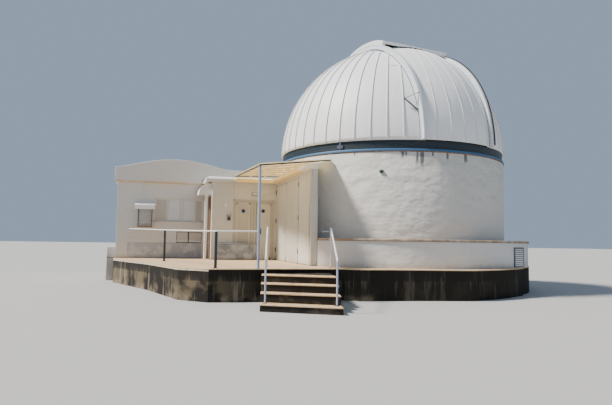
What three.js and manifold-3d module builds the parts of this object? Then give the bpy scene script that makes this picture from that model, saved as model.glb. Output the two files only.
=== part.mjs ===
// Observatory building: a turning dome on a round drum, a low skirt around the
// drum, an entrance lobby, a side annex and a raised terrace with stairs.
// Millimetres, +Z up. The origin is on the dome's axis at ground level.
// +X runs along the annex front to the right, +Y goes to the back.
import * as THREE from "three";
import Module from "manifold-3d";
import { mergeVertices } from "three/addons/utils/BufferGeometryUtils.js";

const wasm = await Module();
wasm.setup();

// Driving dimensions
const GAP = 0.3;
const TERRACE_TOP = 850;
const PAVING = 25;
const FACET_DEG = 3.75;

const DRUM_R = 4050;
const DRUM_INNER_R = 3800;
const DRUM_TOP = 4370;
const DOORWAY_A0 = 153.75;
const DOORWAY_A1 = 202.5;
const TRACK_TOP = 4440;
const TRACK_R = 4075;

const PLINTH_R = 4810;
const PLINTH_WALL = 200;
const PLINTH_TOP = 1620;
const COPING_TOP = 1690;
const BASE_R = 4830;

const DOME_R = 4050;
const SHELL = 60;
const DOME_CENTRE_Z = 4710;
const SHELL_EDGE_Z = 4710;
const SLIT_AZ = 278.5;
const SLIT_HALF = 1235;
const CURB_IN = 1270;
const CURB_OUT = 1380;
const CURB_TOP = 4010;
const SHUTTER_HALF = 1245;
const SHUTTER_IN_R = 4062;
const SHUTTER_OUT_R = 4088;
const HOOD_HALF = 1370;
const SLIT_TOP_EL = 62;

const WALL = 200;
const ANNEX_LEFT = -9850;
const ANNEX_RIGHT = -4000;
const ANNEX_FRONT = 3100;
const ANNEX_BACK = 8000;
const BAND_Z = 3760;
const BAND_OUT = 100;
const PARAPET_Z = 4320;
const ARCH = [
  [-9880, 4320], [-9600, 4372], [-9240, 4468], [-8870, 4554], [-8500, 4632], [-8120, 4682],
  [-7740, 4706], [-7480, 4708], [-7160, 4682], [-6770, 4624], [-6370, 4548], [-5970, 4448],
  [-5770, 4406], [-5560, 4390], [-2000, 4390],
];

const LOBBY_LEFT = -6410;
const LOBBY_FRONT = 1800;
const LOBBY_TOP = 3780;
const EAVE_TOP = 3960;
const EAVE_OUT = 250;
const PORTAL_X = -3950;
const PORTAL_IN = -3730;
const PORTAL_END = -2980;
const BIG_DOOR_Y0 = -1550;
const BIG_DOOR_TOP = 3690;
const DOOR_SEAM_Y = 150;
const HINGE_X = PORTAL_X + 1;
const HINGE_INSET = 8;
const LEAF_HINGE_X = -4136;
const LEAF_HINGE_Y = 1890;

const COLORS = {
  render: 0xd8d5cd,
  concrete: 0x4a4640,
  paving: 0xc9ab7c,
  dome: 0xf0f0ee,
  ring: 0x2f4148,
  track: 0x2f7fc0,
  door: 0xc4bda6,
  sheet: 0xe8d79a,
  steel: 0x8c9db5,
  rail: 0xe8e8e6,
  panel: 0xb6b1a8,
};

// Geometry helpers

function signedVolume(position, index) {
  const a = new THREE.Vector3();
  const b = new THREE.Vector3();
  const c = new THREE.Vector3();
  let sum = 0;
  for (let i = 0; i < index.length; i += 3) {
    a.fromBufferAttribute(position, index[i]);
    b.fromBufferAttribute(position, index[i + 1]);
    c.fromBufferAttribute(position, index[i + 2]);
    sum += a.dot(b.cross(c));
  }
  return sum;
}

// Turn a closed three.js geometry into a manifold body facing outwards.
function solid(geometry) {
  const bare = new THREE.BufferGeometry();
  bare.setAttribute("position", geometry.getAttribute("position"));
  bare.setIndex(geometry.getIndex());
  const merged = mergeVertices(bare, 0.001);
  const index = Array.from(merged.getIndex().array);
  const position = merged.getAttribute("position");
  if (signedVolume(position, index) < 0) {
    for (let i = 0; i < index.length; i += 3) {
      [index[i], index[i + 1]] = [index[i + 1], index[i]];
    }
  }
  const mesh = new wasm.Mesh({
    numProp: 3,
    vertProperties: Float32Array.from(position.array),
    triVerts: Uint32Array.from(index),
  });
  mesh.merge();
  return new wasm.Manifold(mesh);
}

function join(...bodies) {
  return bodies.reduce((sum, body) => sum.add(body));
}

function box(x0, x1, y0, y1, z0, z1) {
  const geometry = new THREE.BoxGeometry(x1 - x0, y1 - y0, z1 - z0);
  geometry.translate((x0 + x1) / 2, (y0 + y1) / 2, (z0 + z1) / 2);
  return solid(geometry);
}

// Skin a stack of rings that all have the same number of points.
function loft(rings) {
  const count = rings[0].length;
  const flat = rings.flat(2);
  const index = [];
  for (let r = 0; r + 1 < rings.length; r += 1) {
    for (let i = 0; i < count; i += 1) {
      const a = r * count + i;
      const b = r * count + ((i + 1) % count);
      index.push(a, b, b + count, a, b + count, a + count);
    }
  }
  const origin = new THREE.Vector3(...rings[0][0]);
  const u = new THREE.Vector3(...rings[0][1]).sub(origin).normalize();
  const normal = new THREE.Vector3();
  for (let i = 0; i < count; i += 1) {
    const p = new THREE.Vector3(...rings[0][i]).sub(origin);
    const q = new THREE.Vector3(...rings[0][(i + 1) % count]).sub(origin);
    normal.add(p.cross(q));
  }
  normal.normalize();
  const v = new THREE.Vector3().crossVectors(normal, u);
  const contour = rings[0].map((point) => {
    const p = new THREE.Vector3(...point).sub(origin);
    return new THREE.Vector2(p.dot(u), p.dot(v));
  });
  const last = (rings.length - 1) * count;
  for (const [a, b, c] of THREE.ShapeUtils.triangulateShape(contour, [])) {
    index.push(a, c, b, last + a, last + b, last + c);
  }
  const geometry = new THREE.BufferGeometry();
  geometry.setAttribute("position", new THREE.Float32BufferAttribute(flat, 3));
  geometry.setIndex(index);
  return solid(geometry);
}

function prism(points, z0, z1) {
  return loft([z0, z1].map((z) => points.map(([x, y]) => [x, y, z])));
}

// Extrude a profile drawn in the XZ plane along Y.
function profileAlongY(points, y0, y1) {
  return loft([y0, y1].map((y) => points.map(([x, z]) => [x, y, z])));
}

// Point on the faceted circle that all round walls share.
function rim(radius, degrees) {
  const half = FACET_DEG / 2;
  const rest = (((degrees % FACET_DEG) + FACET_DEG) % FACET_DEG) - half;
  const toRad = THREE.MathUtils.degToRad;
  const r = (radius * Math.cos(toRad(half))) / Math.cos(toRad(rest));
  return [r * Math.cos(toRad(degrees)), r * Math.sin(toRad(degrees))];
}

function arc(radius, a0, a1) {
  const points = [rim(radius, a0)];
  for (let k = Math.floor(a0 / FACET_DEG) + 1; k * FACET_DEG < a1 - 0.001; k += 1) {
    points.push(rim(radius, k * FACET_DEG));
  }
  points.push(rim(radius, a1));
  return points;
}

function sector(r0, r1, a0, a1, z0, z1) {
  const points = [...arc(r1, a0, a1), ...arc(r0, a0, a1).reverse()];
  return prism(points, z0, z1);
}

function disc(radius, z0, z1) {
  return prism(arc(radius, 0, 360 - FACET_DEG), z0, z1);
}

function ring(r0, r1, z0, z1) {
  return disc(r1, z0, z1).subtract(disc(r0, z0 - 10, z1 + 10));
}

// Round bar from point p to point q.
function bar(p, q, radius, sides = 10) {
  const start = new THREE.Vector3(...p);
  const axis = new THREE.Vector3(...q).sub(start);
  const geometry = new THREE.CylinderGeometry(radius, radius, axis.length(), sides);
  geometry.translate(0, axis.length() / 2, 0);
  const up = new THREE.Vector3(0, 1, 0);
  const turn = new THREE.Quaternion().setFromUnitVectors(up, axis.normalize());
  geometry.applyQuaternion(turn);
  geometry.translate(start.x, start.y, start.z);
  return solid(geometry);
}

function ball(p, radius) {
  const geometry = new THREE.SphereGeometry(radius, 10, 6);
  geometry.translate(...p);
  return solid(geometry);
}

function barPath(points, radius) {
  const bodies = [];
  for (let i = 0; i + 1 < points.length; i += 1) {
    bodies.push(bar(points[i], points[i + 1], radius));
  }
  for (const point of points.slice(1, -1)) {
    bodies.push(ball(point, radius * 1.04));
  }
  return join(...bodies);
}

// Closed slab between two surfaces sampled on the same grid.
function gridSlab(nu, nv, outer, inner) {
  const points = [];
  const index = [];
  const row = nv + 1;
  const size = (nu + 1) * row;
  for (const surface of [outer, inner]) {
    for (let i = 0; i <= nu; i += 1) {
      for (let j = 0; j <= nv; j += 1) {
        points.push(...surface(i / nu, j / nv));
      }
    }
  }
  const quad = (a, b, c, d) => index.push(a, b, c, a, c, d);
  for (let i = 0; i < nu; i += 1) {
    for (let j = 0; j < nv; j += 1) {
      const a = i * row + j;
      quad(a, a + row, a + row + 1, a + 1);
      quad(size + a, size + a + 1, size + a + row + 1, size + a + row);
    }
  }
  for (let i = 0; i < nu; i += 1) {
    const a = i * row;
    const b = a + nv;
    quad(a, size + a, size + a + row, a + row);
    quad(b, b + row, size + b + row, size + b);
  }
  for (let j = 0; j < nv; j += 1) {
    const b = nu * row + j;
    quad(j, j + 1, size + j + 1, size + j);
    quad(b, size + b, size + b + 1, b + 1);
  }
  const geometry = new THREE.BufferGeometry();
  geometry.setAttribute("position", new THREE.Float32BufferAttribute(points, 3));
  geometry.setIndex(index);
  return solid(geometry);
}

// Platform, paving and stairs

const TERRACE = [
  [-9900, 3200], [-9850, 2300], [-8650, -900], [-7850, -3900], [-7130, -4655],
  [-3500, -4640], [-3020, -4955], [-2310, -4980], [-1640, -5070], [-640, -5265],
  [60, -5370], [1040, -5080], [1680, -4770], [2600, -4200], [2600, 0], [-3500, 3200],
];

function footprint(z0, z1) {
  const annex = box(ANNEX_LEFT - 50, ANNEX_RIGHT + 50, 3000, ANNEX_BACK + 50, z0, z1);
  return join(prism(TERRACE, z0, z1), disc(BASE_R, z0, z1), annex);
}

function platform() {
  return footprint(0, TERRACE_TOP - PAVING - GAP);
}

function paving() {
  const edge = prism(
    TERRACE.map(([x, y]) => [x, y < -4000 ? y - 25 : y]),
    TERRACE_TOP - PAVING, TERRACE_TOP,
  );
  return join(footprint(TERRACE_TOP - PAVING, TERRACE_TOP), edge);
}

// Stairs run askew to the building, and their edges are askew to the way up.
const STAIR_EDGE_AZ = -29;
const STAIR_RUN_AZ = -12.6;
const STAIR_FOOT = [-5353, -7052];
const STAIR_WIDTH = 1893;
const STAIR_GOING = 430;
const STAIR_NOSING = 25;
const STAIR_HEIGHTS = [160, 372, 560, 738];

function stairPoint(side, depth, z) {
  const edge = THREE.MathUtils.degToRad(STAIR_EDGE_AZ);
  const run = THREE.MathUtils.degToRad(STAIR_RUN_AZ);
  const x = STAIR_FOOT[0] + side * Math.cos(edge) - depth * Math.sin(run);
  const y = STAIR_FOOT[1] + side * Math.sin(edge) + depth * Math.cos(run);
  return [x, y, z];
}

function stairStep(k) {
  const top = STAIR_HEIGHTS[k];
  const front = k * STAIR_GOING;
  const back = k === 3 ? 3300 : front + STAIR_GOING + 25 - GAP;
  const profile = [
    [front + 25, 0], [back, 0], [back, top], [front, top],
    [front, top - STAIR_NOSING], [front + 25, top - STAIR_NOSING],
  ];
  const rings = [-STAIR_WIDTH / 2, STAIR_WIDTH / 2].map((side) =>
    profile.map(([depth, z]) => stairPoint(side, depth, z)));
  const step = loft(rings);
  if (k < 3) {
    const upper = [stairPoint(-1200, front + STAIR_GOING - GAP, 0),
      stairPoint(1200, front + STAIR_GOING - GAP, 0),
      stairPoint(1200, front + 900, 0), stairPoint(-1200, front + 900, 0)];
    const lip = prism(upper.map(([x, y]) => [x, y]), STAIR_HEIGHTS[k + 1] - STAIR_NOSING - 1, 2000);
    return step.subtract(lip);
  }
  const wall = prism(TERRACE.map(([x, y]) => [x, y < -4000 ? y - GAP : y]), -10, 900);
  const nosing = box(-7000, -3000, -4720, -3000, TERRACE_TOP - PAVING - 1, 900);
  return step.subtract(wall).subtract(nosing);
}

// Rails and canopy

const CANOPY = {
  a: [-5600, 1600, 3985],
  b: [-5900, -4850, 3560],
  c: [-3200, -2600, 4150],
  d: [-3900, 1600, 4060],
};
const CANOPY_POST = [-5850, -4610];

function handrail([x0, y0], [x1, y1], step, lowZ) {
  const foot = [x0, y0, STAIR_HEIGHTS[step] + GAP];
  const highFoot = [x1, y1, TERRACE_TOP + GAP];
  return barPath([foot, [x0, y0, lowZ], [x1, y1, 1975], highFoot], 21);
}

function terraceRailing() {
  const z = TERRACE_TOP;
  const top = [
    [...CANOPY_POST, z + 975], [-6930, -4380, z + 960],
    [-8120, 70, z + 1040], [-9385, ANNEX_FRONT + 40, z + 1116],
  ];
  const posts = [top[1], top[2]].map(([x, y, height]) =>
    box(x - 35, x + 35, y - 35, y + 35, z + GAP, height - 10));
  const wall = box(-10000, -9000, ANNEX_FRONT - GAP, 4000, 0, 4000);
  return join(barPath(top, 20), ...posts).subtract(canopyPost(GAP)).subtract(wall);
}

function canopyPoint(s, t, lift) {
  const { a, b, c, d } = CANOPY;
  return [0, 1, 2].map((k) => {
    const wall = a[k] + (d[k] - a[k]) * s;
    const free = b[k] + (c[k] - b[k]) * s;
    return wall + (free - wall) * t + (k === 2 ? lift : 0);
  });
}

function evenSteps(count, rim) {
  const steps = Array.from({ length: count + 1 }, (_, k) => k / count);
  return rim > 0 ? [-rim, ...steps, 1 + rim] : steps;
}

// Warped slab along the canopy. A rim above 0 widens it past the sheet's edges.
function canopySlab(bottom, top, rim = 0) {
  const across = evenSteps(4, rim);
  const down = evenSteps(8, rim);
  const nu = across.length - 1;
  const nv = down.length - 1;
  const sheet = (lift) => (u, v) =>
    canopyPoint(across[Math.round(u * nu)], down[Math.round(v * nv)], lift);
  return gridSlab(nu, nv, sheet(top), sheet(bottom));
}

function canopySheet() {
  return canopySlab(15, 45).subtract(disc(DRUM_R + 8, 3000, 5000));
}

function canopyPost(grow) {
  const [x, y] = CANOPY_POST;
  return bar([x, y, TERRACE_TOP + GAP], [x, y, CANOPY.b[2] + 5], 37 + grow, 12);
}

// A post and three beams. The beams are notched under the sheet, and the back
// one lies on the edge of the lobby roof.
function canopyFrame() {
  const { a, b, c, d } = CANOPY;
  const side = bar([a[0] + 30, a[1] - 25, a[2] - 5], [b[0] + 30, b[1] + 30, b[2] - 5], 25, 8);
  const front = bar([b[0], b[1] + 50, b[2] - 5], [c[0], c[1], c[2] - 5], 25, 8);
  const back = bar([a[0], a[1] - 25, a[2] - 8], [d[0], d[1] - 25, d[2] - 8], 25, 8);
  const roof = lobbyRoof();
  return join(canopyPost(0), side, front, back)
    .subtract(canopySlab(15 - GAP, 80, 0.02))
    .subtract(roof.add(roof.translate([0, 0, GAP])))
    .subtract(disc(DRUM_R + GAP, 3000, 5000));
}

// Drum and skirt

function drumWall(k) {
  const span = (360 - (DOORWAY_A1 - DOORWAY_A0)) / 4;
  const a0 = DOORWAY_A1 + k * span;
  const wall = sector(DRUM_INNER_R, DRUM_R, a0, a0 + span - 0.005, TERRACE_TOP + GAP, DRUM_TOP);
  const pier = box(-5000, PORTAL_IN + GAP, -3000, 3000, 0, EAVE_TOP + GAP);
  return wall.subtract(pier);
}

function drumLintel() {
  const a0 = DOORWAY_A0 + 0.005;
  return sector(DRUM_INNER_R, DRUM_R, a0, DOORWAY_A1 - 0.005, EAVE_TOP + GAP, DRUM_TOP);
}

function trackRing() {
  return ring(3850, TRACK_R, DRUM_TOP + GAP, TRACK_TOP);
}

function skirtCut() {
  const edge = PORTAL_IN + GAP;
  const plan = [
    [-6000, -6000], [edge, -6000], [edge, PORTAL_END], [-3439.6, -2040],
    [-3439.6, 0], [-6000, 0],
  ];
  const pier = prism(plan, 0, 3000);
  const link = box(-6000, -1000, 0, ANNEX_FRONT + WALL + GAP, 0, 3000);
  return pier.add(link);
}

function louvreBox(width, r0, r1, z0, z1) {
  const body = box(r0, r1, -width / 2, width / 2, z0, z1);
  return body.rotate([0, 0, -57.6]);
}

function plinthFront() {
  const r0 = PLINTH_R - PLINTH_WALL;
  const wall = sector(r0, PLINTH_R, 217.5, 360, TERRACE_TOP + GAP, PLINTH_TOP);
  const slats = [];
  for (let k = 0; k < 8; k += 1) {
    const z = 925 + k * 68;
    slats.push(louvreBox(770, PLINTH_R - 75, PLINTH_R - 25, z, z + 28));
  }
  const hole = louvreBox(750, r0 - 50, PLINTH_R + 50, 905, 1475);
  return wall.subtract(skirtCut()).subtract(hole).add(join(...slats));
}

function plinthBack() {
  const r0 = PLINTH_R - PLINTH_WALL;
  const wall = sector(r0, PLINTH_R, 360.005, 498.75, TERRACE_TOP + GAP, PLINTH_TOP);
  return wall.subtract(skirtCut());
}

function coping() {
  const slab = sector(
    DRUM_R + GAP, PLINTH_R + 40, 217.5, 498.75, PLINTH_TOP + GAP, COPING_TOP,
  );
  return slab.subtract(skirtCut());
}

// Lobby and portal

function drumKeepOut() {
  return disc(DRUM_R + GAP, 0, 6000).add(disc(TRACK_R + GAP, DRUM_TOP - 30, 6000));
}

function portalPier() {
  const plan = [
    [PORTAL_X, PORTAL_END], [PORTAL_IN, PORTAL_END], [-3440, -2040],
    [-3440, -1900], [PORTAL_IN, BIG_DOOR_Y0], [PORTAL_X, BIG_DOOR_Y0],
  ];
  const body = prism(plan, TERRACE_TOP + GAP, LOBBY_TOP);
  return body.subtract(drumKeepOut());
}

function portalLintel() {
  return box(
    PORTAL_X, PORTAL_IN, BIG_DOOR_Y0 + GAP, LOBBY_FRONT - GAP,
    BIG_DOOR_TOP, LOBBY_TOP,
  );
}

const DOOR_X0 = -5570;
const DOOR_X1 = -4050;
const DOOR_TOP = 3100;

function entranceWall() {
  const y = LOBBY_FRONT;
  const front = box(LOBBY_LEFT, DOOR_X0, y, y + WALL, TERRACE_TOP + GAP, LOBBY_TOP);
  const side = box(
    LOBBY_LEFT, LOBBY_LEFT + WALL, y, ANNEX_FRONT - GAP,
    TERRACE_TOP + GAP, LOBBY_TOP,
  );
  return front.add(side);
}

function entranceLintel() {
  const y = LOBBY_FRONT;
  const head = box(DOOR_X0 + GAP, -3500, y, y + WALL, DOOR_TOP + GAP, LOBBY_TOP);
  const pier = box(DOOR_X1 + GAP, -3500, y, y + WALL, TERRACE_TOP + GAP, LOBBY_TOP);
  return head.add(pier).subtract(drumKeepOut());
}

// Roof slab whose outer edge is rounded over the walls.
function lobbyRoof() {
  const levels = [
    [LOBBY_TOP + GAP, EAVE_OUT], [LOBBY_TOP + 85, EAVE_OUT],
    [LOBBY_TOP + 130, EAVE_OUT - 25], [LOBBY_TOP + 160, EAVE_OUT - 75],
    [EAVE_TOP, EAVE_OUT - 150],
  ];
  const rings = levels.map(([z, out]) => [
    [LOBBY_LEFT - out, ANNEX_FRONT - GAP, z],
    [LOBBY_LEFT - out, LOBBY_FRONT - out, z],
    [PORTAL_X - out, LOBBY_FRONT - out, z],
    [PORTAL_X - out, PORTAL_END - 10, z],
    [PORTAL_IN, PORTAL_END - 10, z],
    [-3440, -2040, z],
    [-3440, 0, z],
    [-2000, ANNEX_FRONT - GAP, z],
  ]);
  const slab = loft(rings).subtract(drumKeepOut());
  const sill = sector(
    DRUM_INNER_R, DRUM_R + 1, DOORWAY_A0 + 0.1, DOORWAY_A1 - 0.1,
    LOBBY_TOP + GAP, EAVE_TOP,
  );
  return slab.add(sill);
}

function screenWall() {
  return box(-6230, -4760, 1480, 1600, TERRACE_TOP + GAP, 1460);
}

function sideHood() {
  const wall = LOBBY_LEFT - GAP;
  const profile = [[wall, 3290], [wall, 3730]];
  for (let k = 1; k <= 6; k += 1) {
    const a = THREE.MathUtils.degToRad(k * 15);
    profile.push([wall - 470 * Math.sin(a), 3370 + 360 * Math.cos(a)]);
  }
  profile.push([wall - 470, 3290]);
  const hood = profileAlongY(profile, 2000, 2950);
  const pipe = bar([wall - 190, 2080, TERRACE_TOP + GAP], [wall - 190, 2080, 3300], 55, 12);
  return hood.add(pipe);
}

// Doors

function doorFrame() {
  const y0 = LOBBY_FRONT + 30;
  const y1 = LOBBY_FRONT + 130;
  const x0 = DOOR_X0 + GAP;
  const x1 = DOOR_X1 - GAP;
  const frame = box(x0, x1, y0, y1, TERRACE_TOP + GAP, DOOR_TOP);
  const left = box(-5480, -4940, y0 - 10, y1 + 10, TERRACE_TOP - 10, 3010);
  const right = box(-4690, -4130, y0 - 10, y1 + 10, TERRACE_TOP - 10, 3010);
  const leaf = box(-5481, -4939, y0 + 15, y0 + 60, TERRACE_TOP + GAP, 3011);
  return frame.subtract(left).subtract(right).add(leaf);
}

function entranceLeaf() {
  const y0 = LEAF_HINGE_Y - 45;
  const leaf = box(-4682, LEAF_HINGE_X, y0, LEAF_HINGE_Y, TERRACE_TOP + 8, 3004);
  const handle = box(-4650, -4610, LOBBY_FRONT + 5, y0 + 1, 1860, 2040);
  const knuckles = [1080, 1880, 2680].map((z) =>
    bar([LEAF_HINGE_X, LEAF_HINGE_Y, z], [LEAF_HINGE_X, LEAF_HINGE_Y, z + 100], 6 - GAP, 10));
  return join(leaf, handle, ...knuckles);
}

// One leaf of the portal. Its hinge straps end in knuckles on the jamb side.
function bigDoor(seamY, jambY) {
  const x0 = PORTAL_X + 12;
  const inward = Math.sign(seamY - jambY);
  const hingeY = jambY + inward * HINGE_INSET;
  const edges = [seamY, hingeY + inward * 2].sort((a, b) => a - b);
  const leaf = box(x0, x0 + 50, ...edges, TERRACE_TOP + 8, BIG_DOOR_TOP - 6);
  const straps = [1170, 2270, 3370].map((z) => {
    const ends = [hingeY, hingeY + inward * 80].sort((a, b) => a - b);
    const strap = box(x0 - 14, x0 + 1, ...ends, z, z + 160);
    return strap.add(bar([HINGE_X, hingeY, z], [HINGE_X, hingeY, z + 160], HINGE_INSET - GAP, 10));
  });
  return join(leaf, ...straps);
}

function bigDoorHandle(y) {
  const x0 = PORTAL_X + 12;
  return box(x0 - 35, x0 + 1, y - 15, y + 15, 1850, 2030);
}

// Annex

function annexFront() {
  const z0 = TERRACE_TOP + GAP;
  const endX = ARCH[ARCH.length - 1][0];
  const face = [
    [ANNEX_LEFT, z0], [endX, z0],
    ...ARCH.slice().reverse(), [ANNEX_LEFT, PARAPET_Z],
  ];
  const eaveX = LOBBY_LEFT - EAVE_OUT - 5;
  const band = [
    [ANNEX_LEFT - BAND_OUT, BAND_Z], [eaveX, BAND_Z], [eaveX, EAVE_TOP + GAP],
    [endX, EAVE_TOP + GAP], ...ARCH.slice().reverse(), [ANNEX_LEFT - BAND_OUT, PARAPET_Z],
  ];
  const wall = profileAlongY(face, ANNEX_FRONT, ANNEX_FRONT + WALL);
  const fascia = profileAlongY(band, ANNEX_FRONT - BAND_OUT, ANNEX_FRONT + WALL);
  const openings = [
    [-8450, -6620, 2270, 3160],
    [-7610, -6640, 1450, 1880],
  ].map(([x0, x1, low, high]) =>
    box(x0, x1, ANNEX_FRONT - 50, ANNEX_FRONT + WALL + 50, low, high));
  return join(wall, fascia).subtract(join(...openings)).subtract(drumKeepOut());
}

function annexWalls() {
  const z0 = TERRACE_TOP + GAP;
  const y0 = ANNEX_FRONT + WALL + GAP;
  const outer = box(ANNEX_LEFT, ANNEX_RIGHT, y0, ANNEX_BACK, z0, PARAPET_Z);
  const band = box(
    ANNEX_LEFT - BAND_OUT, ANNEX_RIGHT + BAND_OUT, y0, ANNEX_BACK + BAND_OUT,
    BAND_Z, PARAPET_Z,
  );
  const room = box(ANNEX_LEFT + WALL, ANNEX_RIGHT - WALL, 0, ANNEX_BACK - WALL, 0, 9000);
  const stub = box(-10170, ANNEX_LEFT + 50, y0, y0 + 200, TERRACE_TOP + GAP, 1270)
    .add(box(-10170, -9900 - GAP, y0, y0 + 200, 0, 1000));
  return outer.add(band).add(stub).subtract(room);
}

function annexRoof() {
  return box(
    ANNEX_LEFT + WALL + GAP, ANNEX_RIGHT - WALL - GAP,
    ANNEX_FRONT + WALL + GAP, ANNEX_BACK - WALL - GAP, 3900, 4060,
  );
}

function windowUnit() {
  const y0 = ANNEX_FRONT + 40;
  const x0 = -8450 + GAP;
  const x1 = -6620 - GAP;
  const plate = box(x0, x1, y0, y0 + 70, 2270 + GAP, 3160 - GAP);
  const panes = [[-7950, -7480], [-7400, -6960]].map(([a, b]) =>
    box(a, b, y0 - 10, y0 + 30, 2330, 3100));
  const panels = [[-8420, -8040], [-6860, -6650]].map(([a, b]) =>
    box(a, b, y0 - 10, y0 + 12, 2310, 3120));
  return plate.subtract(join(...panes, ...panels));
}

function hatchPanels() {
  const y0 = ANNEX_FRONT + 25;
  const plate = box(-7610 + GAP, -6640 - GAP, y0, y0 + 60, 1450 + GAP, 1880 - GAP);
  const panels = [[-7590, -7175], [-7130, -6660]].map(([a, b]) =>
    box(a, b, y0 - 20, y0 + 1, 1475, 1860));
  return plate.add(join(...panels));
}

function coolerBox() {
  const wall = ANNEX_FRONT - GAP;
  const profile = [
    [wall, 2990], [wall - 420, 2870], [wall - 420, 2710], [wall - 400, 2710],
    [wall - 400, 2840], [wall, 2950],
  ];
  const lid = loft([-9190, -8460].map((x) => profile.map(([y, z]) => [x, y, z])));
  const cage = box(-9070, -8550, wall - 330, wall, 2070, 2930);
  return lid.add(cage);
}

// Dome

function aroundSlit(body) {
  return body.rotate([0, 0, SLIT_AZ]);
}

function domeShell() {
  const profile = [];
  const steps = 14;
  const edge = (r) => Math.asin((SHELL_EDGE_Z - DOME_CENTRE_Z) / r);
  for (let k = 0; k <= steps; k += 1) {
    const a = edge(DOME_R) + ((Math.PI / 2 - edge(DOME_R)) * k) / steps;
    const x = k === steps ? 0 : DOME_R * Math.cos(a);
    profile.unshift(new THREE.Vector2(x, DOME_R * Math.sin(a)));
  }
  const inner = DOME_R - SHELL;
  for (let k = 0; k <= steps; k += 1) {
    const a = edge(inner) + ((Math.PI / 2 - edge(inner)) * k) / steps;
    profile.push(new THREE.Vector2(k === steps ? 0 : inner * Math.cos(a), inner * Math.sin(a)));
  }
  const geometry = new THREE.LatheGeometry(profile, 360 / FACET_DEG / 1);
  geometry.rotateX(Math.PI / 2);
  geometry.translate(0, 0, DOME_CENTRE_Z);
  return solid(geometry);
}

function slitBox(w0, w1) {
  return aroundSlit(box(-6000, 6000, w0, w1, 4000, 10000));
}

// Half space on the far side of a plane through the sphere centre at angle el.
function beyond(el) {
  const wedge = box(-9000, 9000, -9000, 9000, 0, 9000);
  return aroundSlit(wedge.rotate([0, -el, 0]).translate([0, 0, DOME_CENTRE_Z]));
}

function shellSide(shell, sign) {
  const w0 = sign > 0 ? SLIT_HALF : -6000;
  const w1 = sign > 0 ? 6000 : -SLIT_HALF;
  return shell.intersect(slitBox(w0, w1)).subtract(curb(sign, GAP));
}

// The side shells are bolted together from four panels each: a crown above the
// tier height, and three below it that meet at the diagonals of the plan.
const SHELL_TIER = 6960;

function shellCrown(side) {
  return side.intersect(box(-6000, 6000, -6000, 6000, SHELL_TIER + GAP, 10000));
}

function shellPanel(side, a0, a1) {
  const far = (a) => {
    const turn = THREE.MathUtils.degToRad(a);
    return [9000 * Math.cos(turn), 9000 * Math.sin(turn)];
  };
  const wedge = prism([[0, 0], far(a0), far((a0 + a1) / 2), far(a1)], 4000, SHELL_TIER);
  const seams = [45, 135, 225, 315].map((az) =>
    box(0, 9000, -GAP / 2, GAP / 2, 4000, 9000).rotate([0, 0, az]));
  return side.intersect(wedge).subtract(join(...seams));
}

function shellCentre(shell) {
  const strip = slitBox(-SLIT_HALF + GAP, SLIT_HALF - GAP);
  return shell.intersect(strip).intersect(beyond(SLIT_TOP_EL));
}

// Point of the sphere of a given radius at offset w, el degrees up the slit.
function slitPoint(radius, w, el) {
  const r = Math.sqrt(radius * radius - w * w);
  const e = THREE.MathUtils.degToRad(el);
  const turn = THREE.MathUtils.degToRad(SLIT_AZ);
  const d = r * Math.cos(e);
  return [
    d * Math.cos(turn) - w * Math.sin(turn),
    d * Math.sin(turn) + w * Math.cos(turn),
    DOME_CENTRE_Z + r * Math.sin(e),
  ];
}

function slitStrip(r0, r1, w0, w1, e0, e1, steps, across) {
  const surface = (r) => (u, v) => slitPoint(r, w0 + (w1 - w0) * v, e0 + (e1 - e0) * u);
  return gridSlab(steps, across, surface(r1), surface(r0));
}

// Point at a radius in the plane w = const, el degrees up the slit.
function slitPlanePoint(r, w, el) {
  return slitPoint(Math.hypot(r, w), w, el);
}

// Curbs are let into the shell by 30 mm and run over the top to the back.
// Their top is level across, so that the hood can stand on it.
function curb(sign, grow) {
  const w0 = (sign > 0 ? CURB_IN : -CURB_OUT) - grow;
  const w1 = (sign > 0 ? CURB_OUT : -CURB_IN) + grow;
  const ends = grow / 60;
  const e0 = 0.05 - ends;
  const turn = 141 + ends - e0;
  const top = (u, v) => slitPlanePoint(CURB_TOP + grow, w0 + (w1 - w0) * v, e0 + turn * u);
  const foot = (u, v) => slitPoint(DOME_R - 30 - grow, w0 + (w1 - w0) * v, e0 + turn * u);
  return gridSlab(36, 1, top, foot);
}

// Stay on the outside of the left curb: two arms that meet in a knob.
function strutBracket() {
  const root = slitPlanePoint(CURB_TOP - 25, -CURB_OUT + 20, 21.5);
  const low = slitPlanePoint(CURB_TOP - 80, -CURB_OUT + 20, 14.5);
  const tip = slitPoint(DOME_R + 130, -CURB_OUT - 400, 19.6);
  return join(bar(root, tip, 14, 6), bar(low, tip, 26, 6), ball(tip, 30));
}

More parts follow.
